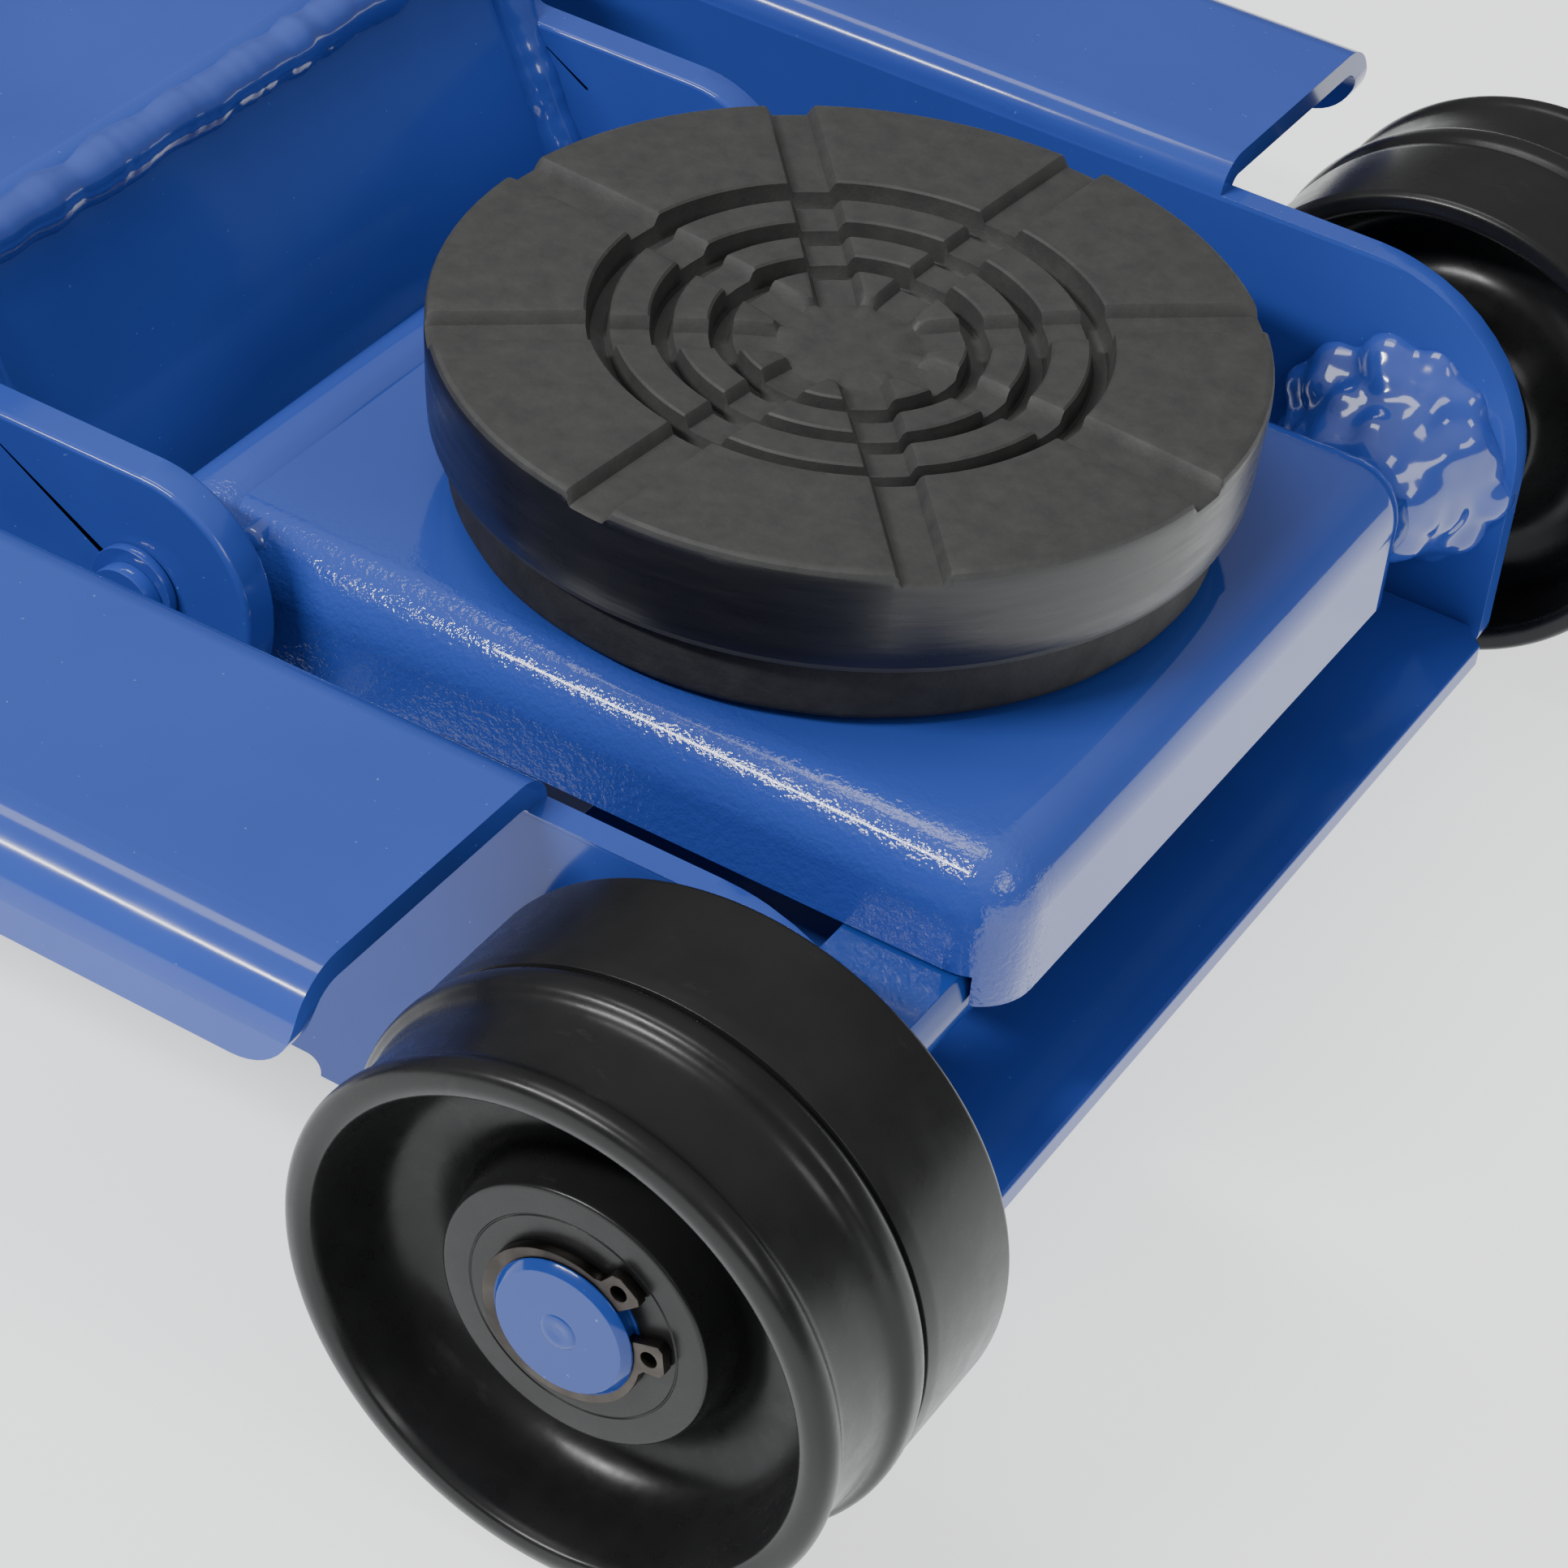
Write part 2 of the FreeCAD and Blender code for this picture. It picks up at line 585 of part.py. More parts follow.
def front_wheel(side):
    """One-piece moulded wheel: dished on both faces, with a rounded rib at mid width."""
    body = new_body("front_wheel_" + side_name(side))
    place(body, moved("axleX"), "0", "wheelRadius")
    tread = "wheelRadius - treadDrop"
    profile = [
        ("axleRadius + runningGap", "wheelInner + rimTaper"), ("hubRadius - 2", "wheelInner + rimTaper"),
        ("hubRadius + 1", "wheelInner + wheelBackDish"),
        ("rimEdgeRadius - rimTaper", "wheelInner + wheelBackDish"),
        ("rimEdgeRadius", "wheelInner + 2"), ("rimEdgeRadius + 2", "wheelInner"),
        ("wheelRadius - 1", "wheelInner"), ("wheelRadius", "wheelInner + 1"),
        ("wheelRadius", "wheelMiddle + 4"), (tread, "wheelMiddle + 7"), (tread, "wheelOuter - 8"),
        ("wheelRadius - ribHeight", "wheelOuter - 5"), ("wheelRadius - ribHeight", "wheelOuter - 3"),
        (f"{tread} - 1", "wheelOuter"), ("rimEdgeRadius + 1", "wheelOuter"),
        ("rimEdgeRadius", "wheelOuter - 1"),
        ("rimEdgeRadius - rimTaper", "wheelOuter + 2 - wheelDish"),
        ("hubRadius + 4", "wheelOuter - wheelDish"),
        ("hubRadius + 1", "hubFace - 5"), ("hubRadius", "hubFace - 1"), ("hubRadius - 1", "hubFace"),
        ("axleRadius + runningGap", "hubFace"),
    ]
    lathe(body, [(radius, f"{side} * ({along})") for radius, along in profile])


def rear_bracket(side):
    """Upright plate bolted inside the web: it carries the arm's shaft and the handle's pivot."""
    body = new_body("rear_bracket_" + side_name(side))
    front = "bracketReach - armPivotX"
    arm_crown = [("bracketCrown - armPivotX", "armPivotZ + bracketCrown"),
                 ("-armPivotX - bracketCrown", "armPivotZ + bracketCrown")]
    saddle = [("-armPivotX - 2.5 * bracketCrown", "armPivotZ - 3"),
              ("2 * bracketHump - handlePivotX", "handlePivotZ - 13")]
    handle_crown = [("bracketHump - handlePivotX", "handlePivotZ + bracketHump"),
                    ("-handlePivotX - bracketHump", "handlePivotZ + bracketHump")]
    outline = [
        (front, "webBottom"), (front, "flangeTop"), *arm_crown, *saddle, *handle_crown,
        ("5 - blockRear", "flangeTop + 5"), ("5 - blockRear", "casterNotchZ"),
        ("-casterNotchX", "casterNotchZ"),
        ("-casterNotchX", "webBottom"),
    ]
    pad(body, "XZ_Plane", *side_span(side, "bracketInner", "webInner"), outline)
    corners = [(x, "0", z) for x, z in arm_crown + saddle + handle_crown]
    fillet(body, ALONG_Y, corners, "bracketFillet")
    fillet(body, ALONG_Y, [("-casterNotchX", "0", "casterNotchZ"),
                           (front, "0", "flangeTop")], "baseRadius")
    start, length = side_span(side, "bracketInner - 1", "webInner + 1")
    holes = [(x, z, "bracketBoltRadius + runningGap") for x, z in BRACKET_BOLTS]
    holes.append(("-armPivotX", "armPivotZ", "armShaftRadius + runningGap"))
    holes.append(("-handlePivotX", "handlePivotZ", "handleBoltRadius + runningGap"))
    holes.append(("linkRearX", "linkRearZ", "linkPinRadius + runningGap"))
    pocket(body, "XZ_Plane", start, length, circles=holes)


def hex_bolt_y(label, x, side, z, radius, head_face, nut_face, nut_height):
    """Hexagon bolt along Y: head outboard of head_face, nut inboard of nut_face."""
    toward = FreeCAD.Rotation(ALONG_X, -90 * side)
    head = hexagon(label + "_head", moved(x), f"{side} * ({head_face})", z, f"{radius} * 1.75",
                   f"{radius} * 1.25", toward)
    away = FreeCAD.Rotation(ALONG_X, 90 * side)
    nut = hexagon(label + "_nut", moved(x), f"{side} * ({nut_face})", z, f"{radius} * 1.75", nut_height,
                  away)
    low = f"({nut_face}) - {nut_height} - 1"
    shank = primitive("Cylinder", label + "_shank", Radius=radius, Height=f"({head_face}) - ({low})")
    shank.Placement.Rotation = toward
    place(shank, moved(x), f"{side} * ({low})", z)
    return fuse(label, head, nut, shank)


def bracket_bolts():
    bolts = []
    for side in (1, -1):
        for index, (x, z) in enumerate(BRACKET_BOLTS):
            name = f"bracket_bolt_{side_name(side)}_{index}"
            bolts.append(hex_bolt_y(name, x, side, z, "bracketBoltRadius", "webOuter", "bracketInner",
                                    "bracketNut"))
    group("bracket_bolts", *bolts)


def rear_base_plate():
    """Plate under the hydraulic unit, narrow at the rear so that the casters can swivel beside it."""
    body = new_body("rear_base_plate")
    narrow = "blockHalfWidth + baseMargin"
    front = "-armPivotX - 25"
    step = "1 - casterNotchX"
    rear = "-blockRear - 4"
    outline = [
        (front, "bracketInner"), (step, "bracketInner"), (step, narrow), (rear, narrow),
        (rear, f"-({narrow})"), (step, f"-({narrow})"), (step, "-bracketInner"), (front, "-bracketInner"),
    ]
    pad(body, "XY_Plane", "webBottom", "basePlate", outline)
    corners = [(rear, narrow, "0"), (rear, f"-({narrow})", "0")]
    fillet(body, ALONG_Z, corners, "baseRadius")


# ---------------------------------------------------------------------------------------------
# hydraulic unit
# ---------------------------------------------------------------------------------------------
def pump_block():
    """Cast body with the ram's bore in front and the pump's bore at the rear."""
    body = new_body("pump_block")
    outline = [
        ("-blockFront", "blockBottom"), ("-blockFront", "blockTop"), ("-blockRear", "blockTop"),
        ("-blockRear", "blockBottom"),
    ]
    pad(body, "XZ_Plane", *across("-blockHalfWidth", "blockHalfWidth"), outline)
    edges = [("-blockFront", y, "0") for y in ("blockHalfWidth", "-blockHalfWidth")]
    edges += [("-blockRear", y, "0") for y in ("blockHalfWidth", "-blockHalfWidth")]
    fillet(body, ALONG_Z, edges, "baseRadius")
    pocket(body, "YZ_Plane", "-ramRear - 3", "ramRear - blockFront + 4",
           circles=[("0", "ramAxisZ", "ramRadius + runningGap")])
    pocket(body, "XY_Plane", "barrelBottom", "blockTop", circles=[("plungerX", "0",
                                                                   "plungerRadius + barrelWall")])
    pocket(body, "YZ_Plane", "-blockRear - 1", "15",
           circles=[("blockHalfWidth / 2", "ramAxisZ", "valveRadius + runningGap")])


def ram_cylinder():
    body = new_body("ram_cylinder")
    place(body, "shift", "0", "ramAxisZ")
    profile = [
        ("-blockFront", "ramRadius + runningGap"), ("-blockFront", "cylinderRadius"),
        ("-cylinderFront", "cylinderRadius"), ("-cylinderFront", "glandRadius"),
        ("-cylinderFront - glandLength", "glandRadius"),
        ("-cylinderFront - glandLength", "ramRadius + runningGap"),
    ]
    lathe(body, profile, axis="H_Axis")


def cylinder_gland():
    """Ring nut and wiper seat in the cylinder's mouth."""
    body = new_body("cylinder_gland")
    place(body, "shift", "0", "ramAxisZ")
    profile = [
        ("-cylinderFront - glandLength", "ramRadius + runningGap"),
        ("-cylinderFront - glandLength", "glandRadius"), ("-cylinderFront", "glandRadius"),
        ("-cylinderFront", "glandRadius + 3"), ("glandLip - cylinderFront - 1", "glandRadius + 3"),
        ("glandLip - cylinderFront", "glandRadius + 1"),
        ("glandLip - cylinderFront", "ramRadius + runningGap"),
    ]
    lathe(body, profile, axis="H_Axis")


def filler_plug():
    """Knurled plug on top of the cylinder, shaped underneath to the cylinder's round."""
    x = moved("-(blockFront + cylinderFront) / 2")
    skirt = cylinder_z("filler_skirt", x, "0", "blockTop - 1", "plugRadius", "plugHeight / 2 + 1")
    cap = cylinder_z("filler_cap", x, "0", "blockTop", "plugRadius - 2", "plugHeight")
    shell = cylinder_x("filler_shell", moved("-blockFront"), "0", "ramAxisZ", "cylinderRadius",
                       "blockFront - cylinderFront")
    node(cut("filler_plug", fuse("filler_blank", skirt, cap), shell), "filler_plug")


def release_valve():
    """Spindle that lets the oil back; the twisting handle turns it."""
    x = moved("-blockRear - 7")
    shank = cylinder_x("valve_shank", x, "blockHalfWidth / 2", "ramAxisZ", "valveRadius", "20")
    head = hexagon("valve_head", x, "blockHalfWidth / 2", "ramAxisZ", "valveHead", "6",
                   FreeCAD.Rotation(ALONG_Y, 90))
    node(fuse("release_valve", shank, head), "release_valve")


def pump_barrel():
    """Pressed-in pump bore whose collar also seats the pump spring."""
    body = new_body("pump_barrel")
    place(body, moved("plungerX"), "0", "0")
    inner = "plungerRadius + runningGap"
    profile = [
        (inner, "barrelBottom"), ("plungerRadius + barrelWall", "barrelBottom"),
        ("plungerRadius + barrelWall", "blockTop"), ("plungerRadius + barrelWall + 3", "blockTop"),
        ("plungerRadius + barrelWall + 3", "barrelTop"), (inner, "barrelTop"),
    ]
    lathe(body, profile, role="XZ_Plane")


def pump_plunger():
    body = new_body("pump_plunger")
    place(body, moved("plungerX"), "0", "0")
    profile = [
        ("0", "blockTop - pumpArm"), ("plungerRadius", "blockTop - pumpArm"),
        ("plungerRadius", "collarUnder"),
        ("plungerRadius + plungerCollar", "collarUnder"), ("plungerRadius + plungerCollar", "collarTop"),
        ("plungerRadius", "collarTop"), ("plungerRadius", "plungerTop - 1"),
        ("plungerRadius - 1", "plungerTop"), ("0", "plungerTop"),
    ]
    lathe(body, profile, role="XZ_Plane")


def coil_profile(inner, wire, low, high, turns):
    """Half section of a spring as a stack of rounded rings, from low to high along the turning axis."""
    valley = f"{inner} + {wire} * 0.72"
    crest = f"{inner} + {wire}"
    pitch = f"(({high}) - ({low})) / {turns}"
    ripple = ((valley, 0.04), (crest, 0.32), (crest, 0.68), (valley, 0.96))
    points = [(radius, f"{low} + {pitch} * {turn + share}") for turn in range(turns) for radius,
              share in ripple]
    return points + [(valley, high), (inner, high), (inner, low), (valley, low)]


def pump_spring():
    body = new_body("pump_spring")
    place(body, moved("plungerX"), "0", "0")
    profile = coil_profile("plungerRadius + seatGap", "pumpSpringWire", "barrelTop", "collarUnder", 5)
    lathe(body, profile, role="XZ_Plane")


def ram_rod():
    body = new_body("ram_rod")
    place(body, "shift", "0", "ramAxisZ")
    profile = [
        ("-ramRear", "0"), ("-ramRear", "ramRadius - 1.5"), ("-ramRear + 1.5", "ramRadius"),
        ("crossheadRear", "ramRadius"), ("crossheadRear", "0"),
    ]
    lathe(body, profile, axis="H_Axis")


def ram_crosshead():
    """Plate on the ram's end: the arm's roller bears on its front, the return springs hook behind it."""
    body = new_body("ram_crosshead")
    wide = "returnSpringY + returnSpringRadius + 2"
    outline = [
        (wide, "ramAxisZ - 9"), (wide, "ramAxisZ + 9"), ("ramRadius + 6", "ramAxisZ + ramRadius + 1"),
        ("-ramRadius - 6", "ramAxisZ + ramRadius + 1"),
        (f"-({wide})", "ramAxisZ + 9"), (f"-({wide})", "ramAxisZ - 9"),
        ("-ramRadius - 6", "ramAxisZ - 1.5 * ramRadius"),
        ("ramRadius + 6", "ramAxisZ - 1.5 * ramRadius"),
    ]
    pad(body, "YZ_Plane", "crossheadRear", "crossheadPlate", outline)


def return_spring(side):
    body = new_body("return_spring_" + side_name(side))
    place(body, "shift", f"{side} * returnSpringY", "ramAxisZ")
    points = coil_profile("returnSpringRadius - returnSpringWire", "returnSpringWire", "-blockFront",
                          "crossheadRear", 18)
    lathe(body, [(along, radius) for radius, along in points], axis="H_Axis")


# ---------------------------------------------------------------------------------------------
# lifting arm
# ---------------------------------------------------------------------------------------------
def arm_pivot_shaft():
    ends = "(webInner + seatGap)"
    shaft = cylinder_y("arm_shaft_bar", moved("-armPivotX"), f"-{ends} - circlipStub", "armPivotZ",
                       "armShaftRadius", f"2 * ({ends} + circlipStub)")
    grooves = [ring_y(f"arm_shaft_groove{index}", moved("-armPivotX"), start, "armPivotZ",
                      "armShaftRadius - circlipDepth", "armShaftRadius + 1",
                      "circlipThickness + 2 * circlipSlack")
               for index, start in enumerate(groove_starts(ends))]
    node(cut("arm_pivot_shaft", shaft, fuse("arm_shaft_grooves", *grooves)), "arm_pivot_shaft")


def arm_shaft_circlips():
    ends = "(webInner + seatGap)"
    left = circlip("arm_clip_left", moved("-armPivotX"), ends, "armPivotZ", "armShaftRadius", 90)
    right = circlip("arm_clip_right", moved("-armPivotX"), f"-{ends} - circlipThickness", "armPivotZ",
                    "armShaftRadius", 90)
    group("arm_shaft_circlips", left, right)


ARM_KNEE_X = "-armTopFront - armKnee"
ARM_TOP_REAR_X = "22 - armPivotX"


def arm_cheek(side):
    """Long side plate: round eye for the head in front, shaft boss and ram lever at the rear."""
    body = new_body("arm_cheek_" + side_name(side))
    front = "armEndRadius - headPivotX"
    low = "headPivotZ - armEndRadius"
    rear = "-armPivotX - armRearRadius"
    lever_rear = "leverX - leverEnd"
    lever_low = "leverZ - leverEnd"
    outline = [
        (front, low), (front, "armEndTop"), ("-headPivotX - armNose", "armEndTop"),
        (ARM_KNEE_X, "armShoulderTop"), (ARM_TOP_REAR_X, "armRearTop"), (rear, "armRearTop"),
        (rear, "armPivotZ - armRearFillet"), (lever_rear, "leverZ + 10"), (lever_rear, lever_low),
        ("60 - armPivotX", lever_low), ("-headPivotX - 90", "headPivotZ - 30"),
    ]
    pad(body, "XZ_Plane", *side_span(side, "armCheekInner", "cheekOuter"), outline)
    fillet(body, ALONG_Y, [(front, "0", low), (front, "0", "armEndTop")], "armEndRadius - 0.1")
    fillet(body, ALONG_Y, [(ARM_TOP_REAR_X, "0", "armRearTop"),
                           (rear, "0", "armRearTop")], "armRearFillet")
    fillet(body, ALONG_Y, [(lever_rear, "0", lever_low)], "leverFillet")
    start, length = side_span(side, "armCheekInner - 1", "cheekOuter + 1")
    holes = [("-headPivotX", "headPivotZ", "headPinRadius + runningGap"),
             ("-armPivotX", "armPivotZ", "armBossRadius"), ("leverX", "leverZ", "rollerPinRadius")]
    pocket(body, "XZ_Plane", start, length, circles=holes)


def arm_top_plate():
    """Bent plate welded between the cheeks just under their top edges, rounded over at the front."""
    body = new_body("arm_top_plate")
    front_top = "armShoulderTop - armTopSink"
    rear_top = "armRearTop - armTopSink"
    outline = [
        ("-armTopFront", front_top), (ARM_KNEE_X, front_top), (ARM_TOP_REAR_X, rear_top),
        (ARM_TOP_REAR_X, f"{rear_top} - armPlate"), (ARM_KNEE_X, f"{front_top} - armPlate"),
        ("-armTopFront", f"{front_top} - armPlate"),
    ]
    pad(body, "XZ_Plane", *across("-armCheekInner", "armCheekInner"), outline)
    fillet(body, ALONG_Y, [("-armTopFront", "0", front_top)], "armPlate - 0.5")


def arm_front_plate():
    """Sloping plate that closes the front of the arm behind the head's sleeve. Its lower corners are
    notched to clear the head's side walls at full lift."""
    body = new_body("arm_front_plate")
    top = "armShoulderTop - armTopSink - armPlate"
    foot = "-headPivotX - frontPlateRun"
    low = "headPivotZ - frontPlateDrop"
    outline = [
        ("-armTopFront", top), ("-armTopFront - armPlate - 1", top), (f"{foot} - armPlate - 1", low),
        (foot, low),
    ]
    pad(body, "XZ_Plane", *across("-armCheekInner", "armCheekInner"), outline)
    corner = [
        ("-armTopFront", "0"), ("-headPivotX", "0"), ("-headPivotX", "headPivotZ - frontPlateNotch"),
        ("-armTopFront", "headPivotZ - frontPlateNotch"),
    ]
    for side in (1, -1):
        pocket(body, "XZ_Plane", *side_span(side, "armCheekInner - frontPlateCorner", "armCheekInner + 1"),
               corner)


def arm_pivot_tube():
    """Boss tube through both cheeks that turns on the shaft."""
    body = new_body("arm_pivot_tube")
    place(body, moved("-armPivotX"), "0", "armPivotZ")
    end = "(bracketInner - faceGap)"
    lathe(body, tube_profile("armShaftRadius + runningGap", "armBossRadius", f"-{end}", end))


def ram_roller():
    body = new_body("ram_roller")
    place(body, moved("leverX"), "0", "leverZ")
    lathe(body, tube_profile("rollerPinRadius", "ramRollerRadius", "-ramRollerHalf", "ramRollerHalf"))


def ram_roller_pin():
    body = new_body("ram_roller_pin")
    place(body, moved("leverX"), "0", "leverZ")
    end = "(cheekOuter + 2)"
    profile = [
        ("0", f"-{end}"), ("rollerPinRadius - 1", f"-{end}"), ("rollerPinRadius", f"1 - {end}"),
        ("rollerPinRadius", f"{end} - 1"), ("rollerPinRadius - 1", end), ("0", end),
    ]
    lathe(body, profile)


# ---------------------------------------------------------------------------------------------
# lifting head and saddle
# ---------------------------------------------------------------------------------------------
def saddle_head():
    """Tray folded from thick plate, with ears at the rear for the levelling links."""
    body = new_body("saddle_head")
    flange_back = "headFront - headPlate"
    ear = [("linkFrontX - headEar", "linkFrontZ - headEar"),
           ("linkFrontX + headEar", "linkFrontZ - headEar")]
    side_outline = [
        ("headFront", "headTop"), ("-headRear", "headTop"),
        ("-headRear", "linkFrontZ + headEar - 1"), *ear,
        ("linkFrontX + 24", "headWallBottom"), (flange_back, "headWallBottom"),
        (flange_back, "headFlangeBottom"), ("headFront", "headFlangeBottom"),
    ]
    pad(body, "XZ_Plane", *across("-headHalfWidth", "headHalfWidth"), side_outline)
    fillet(body, ALONG_Y, [(x, "0", z) for x, z in ear], "headEarFillet")
    fillet(body, ALONG_Y, [("headFront", "0", "headTop")], "headBend")
    for side in (1, -1):
        fillet(body, ALONG_X, [("0", f"{side} * headHalfWidth", "headTop")], "headBend")
    inside = [
        (flange_back, "headUnder"), ("-headRear - 1", "headUnder"), ("-headRear - 1", "0"),
        (flange_back, "0"),
    ]
    pocket(body, "XZ_Plane", *across("headPlate - headHalfWidth", "headHalfWidth - headPlate"), inside)
    pocket(body, "XY_Plane", "headUnder - 1", "headPlate + 2",
           circles=[("0", "0", "saddlePostRadius + runningGap")])
    start, length = across("-headHalfWidth - 1", "headHalfWidth + 1")
    pocket(body, "XZ_Plane", start, length, circles=[("linkFrontX", "linkFrontZ", "linkPinRadius")])
    pocket(body, "XZ_Plane", start, length, circles=[("-headPivotX", "headPivotZ", "headTubeRadius")])


def head_pivot_tube():
    """Sleeve welded along the head's rear edge, on the pivot pin."""
    body = new_body("head_pivot_tube")
    place(body, moved("-headPivotX"), "0", "headPivotZ")
    lathe(body, tube_profile("headPinRadius + runningGap", "headTubeRadius", "-headHalfWidth",
                             "headHalfWidth"))


def head_pivot_pin():
    clip = "(cheekOuter + faceGap)"
    bar = cylinder_y("head_pin_bar", moved("-headPivotX"), f"-{clip} - circlipStub", "headPivotZ",
                     "headPinRadius", f"2 * ({clip} + circlipStub)")
    grooves = [ring_y(f"head_pin_groove{index}", moved("-headPivotX"), start, "headPivotZ",
                      "headPinRadius - circlipDepth", "headPinRadius + 1",
                      "circlipThickness + 2 * circlipSlack")
               for index, start in enumerate(groove_starts(clip))]
    node(cut("head_pivot_pin", bar, fuse("head_pin_grooves", *grooves)), "head_pivot_pin")


def head_pin_circlips():
    clip = "(cheekOuter + faceGap)"
    left = circlip("head_clip_left", moved("-headPivotX"), clip, "headPivotZ", "headPinRadius", 200)
    right = circlip("head_clip_right", moved("-headPivotX"), f"-{clip} - circlipThickness", "headPivotZ",
                    "headPinRadius", 200)
    group("head_pin_circlips", left, right)


def saddle_post():
    """Stud under the saddle that turns in the head, with a retaining collar below the plate."""
    body = new_body("saddle_post")
    under = "headUnder - faceGap"
    collar = "saddlePostRadius + postCollar"
    profile = [
        ("0", f"{under} - 7"), (f"{collar} - 3", f"{under} - 7"), (collar, f"{under} - 5"),
        (collar, under),
        ("saddlePostRadius", under), ("saddlePostRadius", "discBottom"), ("0", "discBottom"),
    ]
    lathe(body, profile, role="XZ_Plane")


def saddle_disc():
    body = new_body("saddle_disc")
    profile = [
        ("0", "discBottom"), ("saddleDiscRadius - 2", "discBottom"),
        ("saddleDiscRadius - 1", "discBottom + 1"),
        ("saddleDiscRadius", "saddleSeam"), ("0", "saddleSeam"),
    ]
    lathe(body, profile, role="XZ_Plane")


def saddle_pad():
    """Rubber pad: three ring grooves, eight radial grooves and a dished middle."""
    body = new_body("saddle_pad")
    groove = "padTop - padRingDepth"
    profile = [
        ("0", "saddleSeam"), ("padRadius - 0.8", "saddleSeam"), ("padRadius", "padTop - padEdge"),
        ("padRadius - padEdge", "padTop"), ("padRadius * 0.63", "padTop"), ("padRadius * 0.61", groove),
        ("padRadius * 0.58", groove), ("padRadius * 0.56", "padTop - 1"),
        ("padRadius * 0.48", "padTop - 1"),
        ("padRadius * 0.46", groove), ("padRadius * 0.44", groove), ("padRadius * 0.42", "padTop - 1.6"),
        ("padRadius * 0.34", "padTop - 1.6"), ("padRadius * 0.32", groove), ("padRadius * 0.30", groove),
        ("padRadius * 0.275", "padTop - 1.8"), ("padRadius * 0.14", "padTop - 2.2"), ("0", "padTop - 3"),
    ]
    lathe(body, profile, role="XZ_Plane")
    inner = "padRadius * 0.13"
    half = "padRadialGroove / 2"
    strip = [(inner, half), ("padRadius + 1", half), ("padRadius + 1", f"-{half}"), (inner, f"-{half}")]
    cutter = pocket(body, "XY_Plane", "padTop - padGrooveDepth", "padGrooveDepth + 1", strip)
    pattern = body.newObject("PartDesign::PolarPattern", "saddle_pad_grooves")
    pattern.Originals = [cutter]
    pattern.Axis = (origin_feature(body, "Z_Axis"), [""])
    pattern.Angle = 360
    pattern.Occurrences = 8
    body.Tip = pattern
    doc.recompute()


# ---------------------------------------------------------------------------------------------
# levelling links
# ---------------------------------------------------------------------------------------------
def link_bar(side):
    """Flat bar with an eye at each end, parallel to the line between the arm's pivots."""
    name = "link_" + side_name(side)
    length = "sqrt((armPivotX - headPivotX) ^ 2 + (armPivotZ - headPivotZ) ^ 2)"
    low = "linkInner" if side > 0 else "-linkInner - linkPlate"
    bar = primitive("Box", name + "_bar", Length=length, Width="linkPlate", Height="2 * linkEye")
    place(bar, "0", "0", "-linkEye")
    eyes = [cylinder_y(f"{name}_eye{index}", x, "0", "0", "linkEye", "linkPlate")
            for index, x in enumerate(("0", length))]
    holes = [cylinder_y(f"{name}_hole{index}", x, "0", "0", "linkPinRadius + runningGap", "linkPlate")
             for index, x in enumerate(("0", length))]
    link = cut(name, fuse(name + "_blank", bar, *eyes), fuse(name + "_holes", *holes))
    slope = math.degrees(math.atan2(number("armPivotZ - headPivotZ"), number("armPivotX - headPivotX")))
    link.Placement.Rotation = FreeCAD.Rotation(ALONG_Y, slope)
    bind(link, "Placement.Rotation.Angle", "atan2(armPivotZ - headPivotZ; armPivotX - headPivotX)")
    place(link, moved("linkRearX"), low, "linkRearZ")
    return link


def leveling_links():
    group("leveling_links", link_bar(1), link_bar(-1))


def link_pins(label, x, z, inner, outer, head_at_inner):
    """Stepped pins, one on each side, whose flat head keeps the link's eye in place."""
    pins = []
    for side in (1, -1):
        name = f"{label}_{side_name(side)}"
        toward = FreeCAD.Rotation(ALONG_X, -90 * side)
        shank = primitive("Cylinder", name + "_shank", Radius="linkPinRadius",
                          Height=f"({outer}) - ({inner})")
        shank.Placement.Rotation = toward
        place(shank, moved(x), f"{side} * ({inner})", z)
        head_start = f"({inner}) - linkPinHead" if head_at_inner else outer
        head = primitive("Cylinder", name + "_head", Radius="linkEye - 0.5", Height="linkPinHead")
        head.Placement.Rotation = toward
        place(head, moved(x), f"{side} * ({head_start})", z)
        pins.append(fuse(name, shank, head))
    group(label, *pins)


# ---------------------------------------------------------------------------------------------
# handle and pump linkage
# ---------------------------------------------------------------------------------------------
def handle_pivot_bolt():
    shank_end = "(webInner + seatGap)"
    bolt = cylinder_y("handle_bolt_shank", moved("-handlePivotX"), f"-{shank_end}", "handlePivotZ",
                      "handleBoltRadius", f"2 * {shank_end}")
    head = hexagon("handle_bolt_head", moved("-handlePivotX"), "-webInner", "handlePivotZ",
                   "handleBoltRadius * 1.7", "7", FreeCAD.Rotation(ALONG_X, 90))
    nut = hexagon("handle_bolt_nut", moved("-handlePivotX"), "webInner", "handlePivotZ",
                  "handleBoltRadius * 1.7", "8", FreeCAD.Rotation(ALONG_X, -90))
    node(fuse("handle_pivot_bolt", bolt, head, nut), "handle_pivot_bolt")


def handle_axis_cylinder(label, radius, low, high):
    """Cylinder along the handle, between two distances from its pivot."""
    obj = primitive("Cylinder", label, Radius=radius, Height=f"({high}) - ({low})")
    obj.Placement.Rotation = FreeCAD.Rotation(ALONG_Y, number("handleLean"))
    bind(obj, "Placement.Rotation.Angle", "handleLean")
    place(obj, moved(f"-handlePivotX + ({low}) * sin(handleLean)"), "0",
          f"handlePivotZ + ({low}) * cos(handleLean)")
    return obj


